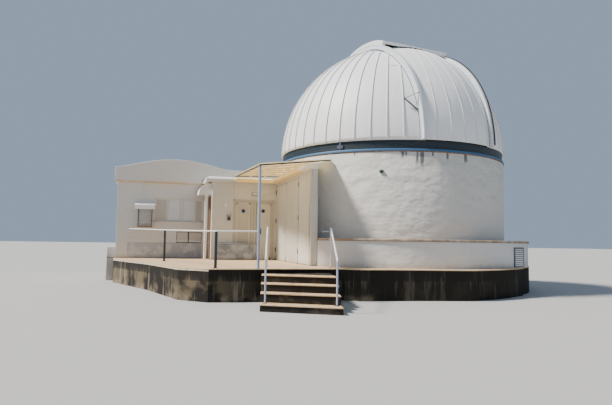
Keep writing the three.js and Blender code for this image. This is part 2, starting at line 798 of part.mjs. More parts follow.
// Cover over the top end of the slit, level across at its front lip. It stands on
// the curbs, gets lower to the back and bulges there to clear the shutter.
function hood() {
  const lower = (el) => 4165 - 105 * Math.max(0, (el - 72) / 31);
  const clear = (w, lift) => Math.sqrt((SHUTTER_OUT_R + lift) ** 2 - w * w);
  const at = (e0, e1, w0, w1, r) => (u, v) => {
    const el = e0 + (e1 - e0) * u;
    const w = w0 + (w1 - w0) * v;
    return slitPlanePoint(r(w, el), w, el);
  };
  const top = (w, el) => Math.max(lower(el), clear(w, 50));
  const under = (w, el) => top(w, el) - 30;
  const plate = gridSlab(12, 16, at(66.5, 103, -HOOD_HALF, HOOD_HALF, top),
    at(66.5, 103, -HOOD_HALF, HOOD_HALF, under));
  const lipFoot = (w) => Math.max(CURB_TOP - 4, clear(w, 20));
  const lip = gridSlab(1, 16, at(66.5, 67, -HOOD_HALF, HOOD_HALF, (w, el) => under(w, el) + 12),
    at(66.5, 67, -HOOD_HALF, HOOD_HALF, lipFoot));
  const cheeks = [-1, 1].map((sign) => {
    const w0 = sign > 0 ? HOOD_HALF - 30 : -HOOD_HALF;
    return gridSlab(12, 1, at(66.5, 103, w0, w0 + 30, (w, el) => under(w, el) + 5),
      at(66.5, 103, w0, w0 + 30, () => CURB_TOP - 4));
  });
  return join(plate, lip, ...cheeks).subtract(curb(-1, GAP)).subtract(curb(1, GAP));
}

// The shutter runs between the curbs on guide shoes near its four corners.
function shutter() {
  const panel = slitStrip(
    SHUTTER_IN_R, SHUTTER_OUT_R, -SHUTTER_HALF, SHUTTER_HALF, 0.15, 70, 24, 12,
  );
  const edge = SHUTTER_HALF - 15;
  const reach = CURB_IN - GAP;
  const shoes = [2, 60].flatMap((el) => [[-reach, -edge], [edge, reach]].map(([w0, w1]) =>
    slitStrip(SHUTTER_IN_R + 5, SHUTTER_OUT_R - 5, w0, w1, el, el + 3, 1, 1)));
  return join(panel, ...shoes);
}

// Assembly

function toMesh(name, body, color) {
  const data = body.getMesh();
  const geometry = new THREE.BufferGeometry();
  const position = new Float32Array(data.vertProperties);
  geometry.setAttribute("position", new THREE.BufferAttribute(position, 3));
  geometry.setIndex(new THREE.BufferAttribute(new Uint32Array(data.triVerts), 1));
  geometry.computeVertexNormals();
  const material = new THREE.MeshStandardMaterial({ color, roughness: 0.7 });
  const mesh = new THREE.Mesh(geometry, material);
  mesh.name = name;
  return mesh;
}

function build() {
  const group = new THREE.Group();
  group.name = "observatory_building";
  const put = (name, body, color) => group.add(toMesh(name, body, COLORS[color]));

  put("platform", platform(), "concrete");
  put("paving", paving(), "paving");
  for (let k = 0; k < 4; k += 1) {
    put(`stair_step_${k + 1}`, stairStep(k), "concrete");
  }
  put("handrail_left", handrail([-6017, -6379], [-5383, -3518], 0, 1200), "rail");
  put("handrail_right", handrail([-4540, -7115], [-3689, -4119], 0, 1159), "rail");
  put("terrace_railing", terraceRailing(), "rail");
  put("canopy_sheet", canopySheet(), "sheet");
  put("canopy_frame", canopyFrame(), "steel");

  for (let k = 0; k < 4; k += 1) {
    put(`drum_wall_${k + 1}`, drumWall(k), "render");
  }
  put("drum_lintel", drumLintel(), "render");
  put("track_ring", trackRing(), "track");
  put("plinth_front", plinthFront(), "render");
  put("plinth_back", plinthBack(), "render");
  put("coping", coping(), "render");

  put("portal_pier", portalPier(), "render");
  put("portal_lintel", portalLintel(), "render");
  put("entrance_wall", entranceWall(), "render");
  put("entrance_lintel", entranceLintel(), "render");
  put("lobby_roof", lobbyRoof(), "render");
  put("screen_wall", screenWall(), "panel");
  put("side_hood", sideHood(), "render");

  put("door_frame", doorFrame(), "door");
  put("entrance_leaf", entranceLeaf(), "door");
  const leftDoor = bigDoor(DOOR_SEAM_Y + 4, LOBBY_FRONT);
  put("big_door_left", leftDoor.add(bigDoorHandle(DOOR_SEAM_Y + 65)), "door");
  put("big_door_right", bigDoor(DOOR_SEAM_Y - 4, BIG_DOOR_Y0), "door");

  put("annex_front", annexFront(), "render");
  put("annex_walls", annexWalls(), "render");
  put("annex_roof", annexRoof(), "render");
  put("window_unit", windowUnit(), "panel");
  put("hatch_panels", hatchPanels(), "panel");
  put("cooler_box", coolerBox(), "rail");

  const shell = domeShell();
  put("dome_ring", ring(3900, 4020, TRACK_TOP + GAP, SHELL_EDGE_Z - GAP), "ring");
  const left = shellSide(shell, -1);
  put("dome_shell_left_front", shellPanel(left, 225, 285), "dome");
  put("dome_shell_left_middle", shellPanel(left, 135, 225), "dome");
  put("dome_shell_left_back", shellPanel(left, 90, 135), "dome");
  put("dome_shell_left_crown", shellCrown(left), "dome");
  const right = shellSide(shell, 1);
  put("dome_shell_right_front", shellPanel(right, 270, 315), "dome");
  put("dome_shell_right_middle", shellPanel(right, -45, 45), "dome");
  put("dome_shell_right_back", shellPanel(right, 45, 105), "dome");
  put("dome_shell_right_crown", shellCrown(right), "dome");
  put("dome_shell_top", shellCentre(shell), "dome");
  put("curb_left", curb(-1, 0).add(strutBracket()), "dome");
  put("curb_right", curb(1, 0), "dome");
  put("hood", hood(), "dome");
  put("shutter", shutter(), "dome");
  return group;
}

export default build();
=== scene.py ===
import math
import random

import bmesh
import bpy
from mathutils import Matrix, Vector


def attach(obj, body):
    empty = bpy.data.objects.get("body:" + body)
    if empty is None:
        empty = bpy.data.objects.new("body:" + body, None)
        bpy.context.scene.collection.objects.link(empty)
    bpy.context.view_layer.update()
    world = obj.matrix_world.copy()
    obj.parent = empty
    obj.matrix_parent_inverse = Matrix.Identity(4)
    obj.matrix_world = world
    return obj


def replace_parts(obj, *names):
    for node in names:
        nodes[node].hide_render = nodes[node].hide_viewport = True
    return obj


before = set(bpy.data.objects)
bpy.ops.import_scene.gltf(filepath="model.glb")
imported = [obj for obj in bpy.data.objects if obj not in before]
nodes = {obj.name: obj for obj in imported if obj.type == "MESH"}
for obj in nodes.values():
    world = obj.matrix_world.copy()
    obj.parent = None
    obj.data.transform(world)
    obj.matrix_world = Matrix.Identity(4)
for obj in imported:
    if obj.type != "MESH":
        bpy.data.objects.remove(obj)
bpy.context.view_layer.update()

# %% [markdown]
# # An observatory building
# The frame holds the plain solids: drum, skirt wall, lobby, annex, terrace and
# the turning dome. This lesson dresses them. Every piece sits where its solid
# sits.

# %% [markdown]
# ## The camera
# The photographer stands in front and to the left, a little over a metre and a
# half above the ground, and looks slightly up. The horizon falls a little to the
# right, so the camera also rolls. Three angles and a place say all of that.

# %% Camera
EYE = Vector((-8.557, -18.498, 1.58))
TURN, PITCH, ROLL = math.radians(16.0), 0.0723, 0.0151
FOCAL_PIXELS, PICTURE_WIDTH, SENSOR = 536.6, 612, 36

level_right = Vector((math.cos(TURN), -math.sin(TURN), 0))
level_ahead = Vector((math.sin(TURN), math.cos(TURN), 0))
ahead = level_ahead * math.cos(PITCH) + Vector((0, 0, math.sin(PITCH)))
above = Vector((0, 0, math.cos(PITCH))) - level_ahead * math.sin(PITCH)
right = level_right * math.cos(ROLL) + above * math.sin(ROLL)
above = above * math.cos(ROLL) - level_right * math.sin(ROLL)

camera = bpy.data.objects.new("camera", bpy.data.cameras.new("camera"))
bpy.context.scene.collection.objects.link(camera)
camera.matrix_world = Matrix.Translation(EYE) @ Matrix(
    (right, above, -ahead)
).transposed().to_4x4()
camera.data.sensor_width = SENSOR
camera.data.lens = SENSOR * FOCAL_PIXELS / PICTURE_WIDTH
camera.data.clip_end = 500
bpy.context.scene.camera = camera
print("camera lens", round(camera.data.lens, 2), "mm")

# %% [markdown]
# ## Shader maths as plain expressions
# A finish is a small calculation: a mask times a colour, a noise plus a slope.
# `Field` wraps one output socket so that `+ - * /` add the Math nodes, and
# `Finish` owns one material and adds any other node with a single method.

# %% Fields and finishes
def operator(kind, swapped=False):
    """A Python operator that adds a Math node."""
    def act(self, other):
        return self.finish.maths(kind, *((other, self) if swapped else (self, other)))
    return act


class Field:
    """One socket of a finish, used like a number."""

    __add__ = __radd__ = operator("ADD")
    __mul__ = __rmul__ = operator("MULTIPLY")
    __truediv__ = operator("DIVIDE")
    __sub__, __rsub__ = operator("SUBTRACT"), operator("SUBTRACT", swapped=True)

    def __init__(self, finish, socket):
        self.finish, self.socket = finish, socket

    def above(self, edge, soft):
        """0 below the edge, 1 past it, with a soft step of that width."""
        return self.finish.node("MapRange", {"interpolation_type": "SMOOTHSTEP"}, {
            "Value": self, "From Min": edge, "From Max": edge + soft})

    def below(self, edge, soft):
        return 1 - self.above(edge - soft, soft)

    def between(self, low, high, soft):
        return self.above(low - soft, soft) * self.below(high + soft, soft)


class Nodes:
    """Adds nodes to a tree and feeds their inputs with fields or plain values."""

    def __init__(self, tree, prefix):
        self.tree, self.prefix = tree, prefix

    def feed(self, socket, value):
        if isinstance(value, Field):
            self.tree.links.new(value.socket, socket)
        elif socket.type == "RGBA":
            socket.default_value = (*value, 1)
        else:
            socket.default_value = value

    def node(self, kind, settings=None, values=None, out=0):
        made = self.tree.nodes.new(self.prefix + kind)
        for key, value in (settings or {}).items():
            setattr(made, key, value)
        for key, value in (values or {}).items():
            self.feed(made.inputs[key], value)
        return Field(self, made.outputs[out])

    def end(self, kind, value):
        """Feed the tree's output node."""
        self.feed(self.tree.nodes.new(kind).inputs[0], value)


class Finish(Nodes):
    """One material. Patterns read object coordinates, in metres."""

    def __init__(self, name):
        self.material = bpy.data.materials.new(name)
        self.material.use_nodes = True
        super().__init__(self.material.node_tree, "ShaderNode")
        self.tree.nodes.clear()
        self.place = self.node("TexCoord", out="Object")
        parts = self.node("SeparateXYZ", None, {0: self.place}).socket.node.outputs
        self.x, self.y, self.z = (Field(self, part) for part in parts)

    def maths(self, operation, first, second=0.0):
        return self.node("Math", {"operation": operation}, {0: first, 1: second})

    def mix(self, amount, first, second):
        return self.node(
            "Mix", {"data_type": "RGBA"}, {0: amount, 6: first, 7: second}, out=2)

    def layered(self, color, *layers):
        """Lay (mask, tint) layers over a colour, one after another."""
        for mask, tint in layers:
            color = self.mix(mask, color, tint)
        return color

    def noise(self, scale, detail=4.0, rough=0.55, stretch=None):
        place = self.place
        if stretch:
            place = self.node("VectorMath", {"operation": "MULTIPLY"}, {0: place, 1: stretch})
        return self.node("TexNoise", None, {
            "Vector": place, "Scale": scale, "Detail": detail, "Roughness": rough})

    def round_angle(self):
        """Degrees round the building's axis, from 0 to 360."""
        turn = self.maths("ARCTAN2", self.y, self.x) * (180 / math.pi)
        return self.maths("MODULO", turn + 360, 360)

    def bumps(self, *layers):
        """Stack (height, strength, distance) layers into one normal."""
        normal = {}
        for height, strength, distance in layers:
            normal = {"Normal": self.node("Bump", None, {
                "Height": height, "Strength": strength, "Distance": distance, **normal})}
        return normal["Normal"]

    def coat(self, color, roughness, normal=None, **fixed):
        values = {key.replace("_", " "): value for key, value in fixed.items()}
        if normal:
            values["Normal"] = normal
        return self.node(
            "BsdfPrincipled", None, {"Base Color": color, "Roughness": roughness, **values})

    def shown(self, shader):
        self.end("ShaderNodeOutputMaterial", shader)
        return self.material

    def surface(self, *coat, **fixed):
        return self.shown(self.coat(*coat, **fixed))


def shaded(color, share):
    return tuple(c * share for c in color)


# %% [markdown]
# ## Painted render
# The walls are cement render under white masonry paint. Up close it is grainy,
# from afar it swells and sinks where the plasterer's float went. Rain draws
# grey streaks down from every top edge and dust browns the foot of the wall.
# One recipe makes all of it, and each wall passes its own stains on top; the eave also takes two
# layers of painted light.

# %% Render finish
WALL_TOP = 4.37
PAVING = 0.85
JOINT_TONE = (0.05, 0.042, 0.035)


def plaster(name, base, waves, foot=PAVING, stains_and_light=()):
    f = Finish(name)
    broad, patch, grain = f.noise(0.55, 3), f.noise(2.2, 5, 0.6), f.noise(70, 2, 0.7)
    streak = f.noise(1.0, 5, 0.6, stretch=(7, 7, 0.35))
    splash = f.z.below(foot + 0.22, 0.22) * patch.above(0.3, 0.3)
    color = f.layered(
        base, (broad.above(0.4, 0.35) * 0.35, shaded(base, 0.9)),
        (streak.above(0.55, 0.25) * 0.22, (0.42, 0.41, 0.39)),
        (patch.above(0.62, 0.12) * 0.12, (0.85, 0.84, 0.81)),
        (splash * 0.45, (0.34, 0.27, 0.19)), *(overlay(f) for overlay in stains_and_light))
    swell = f.noise(1.7, 2, 0.5, stretch=(1, 1, 1.6))
    normal = f.bumps((swell, 0.55 * waves, 0.10), (patch, 0.25, 0.02), (grain, 0.22, 0.006))
    return f.surface(color, 0.82 - patch * 0.1, normal, Specular_IOR_Level=0.25)


def drips(angle, wide, long):
    """A dark run of dirt down the drum, below its top edge."""
    def make(f):
        ragged = f.noise(1.0, 4, 0.7, stretch=(16, 16, 0.8))
        turn = f.round_angle() + ragged * 3.0 - 1.5
        reach = (f.z + ragged * long * 1.2).above(WALL_TOP - long * 0.45, long * 0.5)
        run = turn.between(angle - wide, angle + wide, 0.25) * reach
        return run * f.z.below(WALL_TOP + 0.05, 0.02) * 0.85, (0.10, 0.10, 0.10)
    return make


def top_edge(f):
    """Rust along the top edge of the drum."""
    return (f.z + f.noise(3.0, 4) * 0.02).above(4.345, 0.008) * 0.85, (0.46, 0.30, 0.16)


def painted_canopy_light(f):
    """Painted light: the yellow of sun that comes through the canopy sheet, laid on the eave under
    it and frayed along its lower edge.
    """
    ragged = f.noise(3.0, 5, 0.65, stretch=(1, 1, 2.5))
    under = f.y.below(1.72, 0.02) * f.x.between(-5.58, -3.9, 0.05)
    return under * ragged.above(0.18, 0.2) * 0.85, (0.97, 0.75, 0.35)


def foot_line(f):
    """The dark joint where a wall meets the paving."""
    line = (f.z + f.noise(4, 4, 0.6) * 0.03).below(0.893, 0.012)
    return line * f.z.above(0.845, 0.004) * 0.85, JOINT_TONE


def pier_runs(f):
    """Brown runs down the pier."""
    run = f.noise(1.0, 5, 0.65, stretch=(9, 9, 0.25))
    return run.above(0.50, 0.09) * f.y.below(-2.2, 0.3) * 0.75, (0.33, 0.25, 0.17)


def painted_sunlit_eave_end(f):
    """Painted sunlight: cream on the end of the eave over the pier, where the sun falls."""
    return (f.y + f.noise(3.0, 4, 0.6) * 0.3).below(-2.1, 0.1) * 0.9, (0.95, 0.91, 0.82)


def coping_coat():
    f = Finish("coping_coat")
    ragged, grain = f.noise(4.0, 5, 0.65), f.noise(60, 3, 0.7)
    color = f.layered((0.36, 0.25, 0.17), (ragged.above(0.42, 0.25), (0.56, 0.47, 0.37)),
                      # the dark band along the foot of the coping is painted shade, the shadow
                      # line under its overhang
                      (f.z.below(1.640, 0.008) * 0.85, (0.09, 0.065, 0.05)))
    return f.surface(color, 0.85, f.bumps((ragged, 0.3, 0.01), (grain, 0.3, 0.004)))


RUNS = ((250.9, 0.5, 0.30), (252.4, 0.3, 0.22), (257.2, 0.5, 0.50), (259.3, 0.5, 0.55),
        (271.0, 0.4, 0.28), (280.5, 0.6, 0.34), (264.0, 0.25, 0.18), (230.0, 0.3, 0.16),
        (20.0, 0.5, 0.42), (96.0, 0.4, 0.36), (141.0, 0.5, 0.50))
drum_finish = plaster("drum_render", (0.67, 0.645, 0.60), 1.5,
                      stains_and_light=(*(drips(*run) for run in RUNS), top_edge))
plinth_finish = plaster("skirt_render", (0.70, 0.69, 0.68), 0.8)
hood_render = plaster("side_hood_render", (0.76, 0.75, 0.73), 0.5, foot=0.6)
wall_finish = plaster("lobby_render", (0.66, 0.635, 0.575), 0.7, stains_and_light=(pier_runs, foot_line))
eave_finish = plaster("eave_render", (0.70, 0.68, 0.64), 0.5, stains_and_light=(painted_canopy_light, painted_sunlit_eave_end))
coping_finish = coping_coat()
print("render finishes ready")

# %% [markdown]
# ## Annex render
# The annex has two marks of its own: an orange line of old rust wash under the
# projecting parapet band, and a worn grey dado along the foot whose paint has
# peeled off in patches. Both are masks in height, frayed by noise.

# %% Annex finishes
def on_front(f):
    return f.y.below(3.2, 0.05)


def rust_line(f):
    ragged = f.noise(4.0, 4, 0.6, stretch=(1, 1, 2))
    line = (f.z + ragged * 0.03).between(3.775, 3.825, 0.02)
    return line * on_front(f) * ragged.above(0.3, 0.2) * 0.75, (0.62, 0.40, 0.16)


def peeled_dado(f):
    edge = f.z.below(1.47, 0.02) * f.x.between(-9.42, -6.66, 0.02) * on_front(f)
    flakes = f.noise(2.3, 6, 0.65).above(0.44, 0.05)
    return edge * (0.45 + flakes * 0.55) * 0.8, (0.36, 0.385, 0.42)


def lost_paint(f):
    edge = f.z.below(1.44, 0.03) * f.x.between(-9.40, -6.68, 0.02) * on_front(f)
    return edge * f.noise(5.0, 6, 0.7).above(0.52, 0.10) * 0.6, (0.62, 0.63, 0.65)


def worn_panel():
    f = Finish("worn_dado")
    ragged, fine = f.noise(2.6, 6, 0.65), f.noise(9, 5, 0.7)
    color = f.layered(
        (0.38, 0.40, 0.435), (ragged.above(0.42, 0.16), (0.21, 0.23, 0.265)),
        (fine.above(0.58, 0.08) * 0.45, (0.55, 0.55, 0.54)),
        (f.z.above(1.40, 0.03) * 0.6, (0.15, 0.16, 0.175)),
        (f.z.below(0.98, 0.1) * 0.4, (0.15, 0.12, 0.09)),
        ((f.z + fine * 0.03).below(0.893, 0.012) * 0.85, JOINT_TONE))
    return f.surface(color, 0.85, f.bumps((ragged, 0.3, 0.01), (fine, 0.3, 0.004)))


annex_finish = plaster("annex_render", (0.66, 0.635, 0.595), 0.6,
                       stains_and_light=(rust_line, peeled_dado, lost_paint, foot_line))
dado_finish = worn_panel()
print("annex finishes ready")

# %% [markdown]
# ## Stained retaining wall and paving
# Water runs over the terrace edge and down its retaining wall. Black growth
# covers the concrete, with pale lime streaks between. Noise stretched along Z
# gives the runs, and the paving above is dusty, tan screed.

# %% Concrete and paving finishes
def stained_concrete():
    f = Finish("stained_concrete")
    dark = (0.020, 0.017, 0.014)
    runs = f.noise(1.0, 6, 0.62, stretch=(3.2, 3.2, 0.30))
    thin = f.noise(1.0, 5, 0.7, stretch=(11, 11, 0.5))
    blotch, grain = f.noise(1.3, 5, 0.6), f.noise(55, 3, 0.7)
    lime = runs.above(0.54, 0.10) * 0.6 + thin.above(0.60, 0.08) * 0.5
    lime = f.maths("MINIMUM", lime * (0.25 + f.x.below(-1.5, 5.5) * 0.75), 0.75)
    low_left = f.x.below(-5.4, 2.2) * blotch.above(0.42, 0.2) * f.z.below(0.72, 0.2)
    foot = f.z.below(0.22, 0.2) * blotch.above(0.45, 0.2) * f.x.below(-1.0, 3.0)
    color = f.layered(
        dark, (blotch.above(0.45, 0.2) * 0.6, (0.042, 0.034, 0.025)),
        (low_left * 0.8, (0.17, 0.135, 0.085)), (lime, (0.30, 0.26, 0.20)),
        (f.z.between(0.56, 0.80, 0.06) * thin.above(0.37, 0.12) * 0.85, dark),
        (foot * 0.5, (0.36, 0.29, 0.20)))
    normal = f.bumps((blotch, 0.4, 0.03), (runs, 0.2, 0.01), (grain, 0.35, 0.006))
    return f.surface(color, 0.9, normal, Specular_IOR_Level=0.2)


NOSING_X, NOSING_Y, GOING = -5.353, -7.052, 0.4125


def stair_concrete(k, top):
    """Nearly black riser under a tan tread and nosing."""
    f = Finish(f"stair_concrete_{k}")
    blotch, ragged, grain = f.noise(2.4, 5, 0.65), f.noise(9, 5, 0.7), f.noise(60, 3, 0.7)
    dark = f.mix(blotch.above(0.50, 0.2), (0.022, 0.019, 0.016), (0.080, 0.065, 0.048))
    tan = f.mix(ragged.above(0.45, 0.2), (0.62, 0.44, 0.26), (0.46, 0.32, 0.18))
    edge = (f.z + ragged * 0.008).above(top - 0.023, 0.005)
    behind = (f.x - NOSING_X) * 0.4848 + (f.y - NOSING_Y) * 0.8746 - GOING * (k - 1)
    edge = edge * (behind + ragged * 0.05).below(0.50, 0.04)
    normal = f.bumps((blotch, 0.4, 0.02), (ragged, 0.3, 0.006), (grain, 0.3, 0.003))
    return f.surface(f.mix(edge, dark, tan), 0.9, normal, Specular_IOR_Level=0.2)


def screed(name, base):
    f = Finish(name)
    broad, patch, grain = f.noise(0.8, 4), f.noise(4, 6, 0.65), f.noise(80, 2, 0.7)
    crack = f.node("TexVoronoi", None, {"Vector": f.place, "Scale": 0.55})
    color = f.layered(
        base, (broad.above(0.42, 0.3) * 0.5, (0.48, 0.34, 0.20)),
        (patch.above(0.58, 0.12) * 0.4, (0.74, 0.60, 0.42)),
        (patch.below(0.36, 0.1) * 0.5, (0.28, 0.20, 0.13)))
    normal = f.bumps((patch, 0.25, 0.01), (crack, 0.05, 0.01), (grain, 0.3, 0.004))
    return f.surface(color, 0.88, normal, Specular_IOR_Level=0.2)


def mortar():
    f = Finish("edge_mortar")
    ragged, grain = f.noise(5, 5, 0.65), f.noise(60, 3, 0.7)
    color = f.mix(ragged.above(0.45, 0.2), (0.66, 0.56, 0.42), (0.48, 0.39, 0.28))
    return f.surface(color, 0.9, f.bumps((ragged, 0.3, 0.008), (grain, 0.3, 0.003)))


concrete_finish, edge_mortar = stained_concrete(), mortar()
screed_finish = screed("terrace_screed", (0.60, 0.44, 0.27))
roof_finish = screed("roof_screed", (0.42, 0.40, 0.37))
print("concrete and paving ready")

# %% [markdown]
# ## Painted metal
# The dome is white sheet metal. Each tray between two seams dents a little on
# its own, and the paint is brighter or duller from tray to tray. The angle round
# the axis, cut into steps of one tray, gives every tray its own value.

# %% Metal finishes
TRAYS = 50
TRAY = 360 / TRAYS
FIRST_SEAM = 6.6


def dome_paint(name, bright=1.0):
    f = Finish(name)
    tray = f.maths("FLOOR", (f.round_angle() - FIRST_SEAM + 360) / TRAY)
    shade = f.node("TexWhiteNoise", {"noise_dimensions": "1D"}, {"W": tray})
    dent = f.noise(1.1, 3, 0.5, stretch=(1, 1, 0.6))
    streak = f.noise(1.0, 5, 0.65, stretch=(6, 6, 0.5))
    fine = f.noise(9, 4, 0.6)
    low = f.z.below(5.05, 0.35) * fine.above(0.45, 0.2)
    color = f.layered(
        shaded((0.87, 0.87, 0.87), bright), (shade * 0.45, shaded((0.80, 0.81, 0.82), bright)),
        (streak.above(0.56, 0.2) * 0.30, (0.56, 0.57, 0.58)), (low * 0.25, (0.52, 0.52, 0.51)))
    normal = f.bumps((dent, 0.6, 0.05), (fine, 0.08, 0.004))
    return f.surface(color, 0.42 + streak * 0.16, normal)


def paint(name, color, rough=0.45, wear=0.0, rust=(0.23, 0.11, 0.05), scale=14.0, **fixed):
    """A brushed coat of paint, with worn or rusty flecks where wear is above 0."""
    f = Finish(name)
    fleck, broad = f.noise(scale, 6, 0.7), f.noise(1.6, 4)
    tone = f.mix(broad.above(0.4, 0.3) * 0.35, color, shaded(color, 0.8))
    if wear > 0:
        tone = f.mix(fleck.above(0.72 - wear * 0.25, 0.04), tone, rust)
    normal = f.bumps((fleck, 0.12, 0.003), (f.noise(120, 2), 0.08, 0.001))
    return f.surface(tone, rough + broad * 0.12, normal, **fixed)


white_metal = dome_paint("dome_paint")
shutter_metal = dome_paint("shutter_paint", 1.04)
# the seams take a darker copy of the dome paint: painted shade for the shaded side of each raised
# seam
seam_metal_painted_shade = dome_paint("seam_paint", 0.86)
# the curbs are white paint tinted blue-grey as painted shade, the shade on the top of the left
# curb
curb_paint = paint("curb_paint", (0.72, 0.755, 0.79), 0.38, 0.05, (0.50, 0.51, 0.52))
hood_paint = paint("hood_paint", (0.78, 0.78, 0.77), 0.42, 0.04, (0.50, 0.44, 0.38), 6.0)
seal_grey = paint("curb_seal", (0.045, 0.055, 0.075), 0.6)
slate_steel = paint("slate_steel", (0.085, 0.105, 0.150), 0.45, 0.2, (0.14, 0.13, 0.13))
ring_paint = paint("ring_paint", (0.012, 0.024, 0.034), 0.42, 0.2, (0.10, 0.12, 0.12))
track_paint = paint("track_paint", (0.045, 0.14, 0.28), 0.45, 0.5, (0.16, 0.13, 0.10))
# near-black finish for painted shade: thin sheets in gaps, slots and openings where shadow lies
shadow_black = paint("seal_rubber", (0.012, 0.012, 0.012), 0.7)
rust_strip = paint("rusty_flashing", (0.34, 0.21, 0.11), 0.75, 0.9, (0.18, 0.09, 0.04))
door_paint = paint("door_paint", (0.65, 0.62, 0.53), 0.42, 0.25, (0.42, 0.37, 0.29))
frame_paint = paint("frame_paint", (0.54, 0.50, 0.415), 0.45, 0.25, (0.34, 0.29, 0.22))
rail_white = paint("rail_white", (0.80, 0.80, 0.795), 0.35, 0.3, (0.40, 0.36, 0.32))
post_dark = paint("post_dark", (0.036, 0.045, 0.055), 0.5, 0.35, (0.13, 0.07, 0.04))
blue_steel = paint("blue_grey_steel", (0.33, 0.40, 0.53), 0.42, 0.2, (0.45, 0.44, 0.42))
batten_wood = paint("batten_wood", (0.84, 0.68, 0.42), 0.7, 0.3, (0.40, 0.24, 0.11))
cooler_case = paint("cooler_case", (0.16, 0.155, 0.15), 0.5, 0.3, (0.30, 0.27, 0.23))
green_box = paint("green_box", (0.022, 0.085, 0.045), 0.4, 0.2, (0.05, 0.06, 0.05))
window_frame = paint("window_frame", (0.66, 0.65, 0.62), 0.4, 0.2, (0.45, 0.42, 0.36))
blind_grey = paint("blind_slat", (0.36, 0.375, 0.39), 0.55)
panel_grey = paint("panel_board", (0.52, 0.49, 0.45), 0.6, 0.35, (0.36, 0.32, 0.27))
lid_white = paint("lid_white", (0.85, 0.85, 0.84), 0.35, 0.15, (0.5, 0.48, 0.45))
dark_metal = paint("dark_metal", (0.045, 0.045, 0.048), 0.5)
wire_metal = paint("wire_metal", (0.30, 0.29, 0.28), 0.4, 0.5, Metallic=0.6)
brown_wood = paint("side_door_paint", (0.20, 0.12, 0.07), 0.5, 0.3, (0.10, 0.06, 0.04))
lamp_glass = paint("lamp_cover", (0.76, 0.75, 0.70), 0.3)
pane_blue = paint("porthole_pane", (0.010, 0.035, 0.10), 0.08, Coat_Weight=1.0)


def two_tone():
    """White rail paint over an older blue-grey coat that shows near the foot."""
    f = Finish("rail_two_tone")
    ragged, fleck = f.noise(6, 4), f.noise(30, 5, 0.7)
    low = (f.z + ragged * 0.12).below(1.22, 0.03) * f.y.below(-5.6, 0.1)
    color = f.layered((0.82, 0.82, 0.81), (low, (0.42, 0.48, 0.60)),
                      (fleck.above(0.66, 0.04), (0.36, 0.30, 0.25)))
    return f.surface(color, 0.4 + fleck * 0.1, f.bumps((fleck, 0.12, 0.003)))


def sheet_door():
    """Thin sheet metal: it oils a little between its folds and rusts at the edges."""
    f = Finish("big_door_paint")
    wave = f.noise(1.1, 2, 0.5, stretch=(1, 2.2, 0.8))
    streak = f.noise(1.0, 5, 0.65, stretch=(9, 9, 0.5))
    fleck = f.noise(26, 6, 0.7)
    foot = f.z.below(1.15, 0.3) * streak.above(0.35, 0.3)
    edge = f.maths("ABSOLUTE", f.y - 0.15).below(0.03, 0.03) * fleck.above(0.40, 0.1)
    color = f.layered(
        (0.62, 0.60, 0.53), (streak.above(0.48, 0.25) * 0.45, (0.48, 0.455, 0.39)),
        (foot * 0.5, (0.30, 0.22, 0.14)), (edge * 0.8, (0.17, 0.10, 0.06)))
    normal = f.bumps((wave, 0.6, 0.05), (fleck, 0.12, 0.002))
    return f.surface(color, 0.42 + streak * 0.15, normal)


rail_two_tone, big_door_paint = two_tone(), sheet_door()
print("metal finishes ready")

# %% [markdown]
# ## Yellowed canopy sheet
# The canopy is a ribbed plastic sheet that the sun has turned yellow. Light
# still comes through it: a quarter passes straight, and more than half of the
# rest is spread by a translucent shader. Dirt lies in bands across the sheet.

# %% Canopy finish
def canopy_plastic():
    f = Finish("yellowed_sheet")
    band = f.noise(1.0, 5, 0.65, stretch=(1.0, 4.0, 1.0))
    blot = f.noise(3.2, 5, 0.6)
    color = f.layered((0.95, 0.83, 0.54), (band.above(0.42, 0.25), (0.97, 0.93, 0.78)),
                      (blot.above(0.62, 0.1) * 0.5, (0.78, 0.55, 0.28)))
    plastic = f.coat(color, 0.45, f.bumps((blot, 0.15, 0.01)), Alpha=0.75)
    glow = f.node("BsdfTranslucent", None, {"Color": (0.98, 0.90, 0.66)})
    return f.shown(f.node("MixShader", None, {0: 0.55, 1: plastic, 2: glow}))


sheet_finish = canopy_plastic()
print("canopy finish ready")

# %% [markdown]
# ## Making meshes
# Most pieces here are a slab between an outer and an inner surface, a band
# turned round the building's axis, or a few boxes. These helpers build them
# closed and facing out, and `dressed` gives a mesh its finish and body.

# %% Mesh helpers
AXIS = Vector((0, 0, 4.71))
SLIT = math.radians(278.5)
BOX_FACES = ((0, 1, 3, 2), (4, 6, 7, 5), (0, 4, 5, 1), (2, 3, 7, 6), (0, 2, 6, 4), (1, 5, 7, 3))


def dressed(name, mesh, finish, body, slot, soft=35):
    """Show a mesh as a piece; edges sharper than soft degrees stay sharp."""
    thing = bpy.data.objects.new(name, mesh)
    bpy.context.scene.collection.objects.link(thing)
    mesh.materials.clear()
    mesh.materials.append(finish)
    mesh.shade_smooth()
    mesh.set_sharp_from_angle(angle=math.radians(soft))
    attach(thing, body)
    return thing


def plain_mesh(name, points, edges, faces):
    mesh = bpy.data.meshes.new(name)
    mesh.from_pydata([tuple(p) for p in points], edges, faces)
    return mesh


def piece(name, points, faces, finish, body="building", slot="render", soft=35):
    mesh, shape = plain_mesh(name, points, [], faces), bmesh.new()
    shape.from_mesh(mesh)
    bmesh.ops.remove_doubles(shape, verts=shape.verts, dist=1e-5)
    bmesh.ops.recalc_face_normals(shape, faces=shape.faces)
    shape.to_mesh(mesh)
    shape.free()
    return dressed(name, mesh, finish, body, slot, soft)


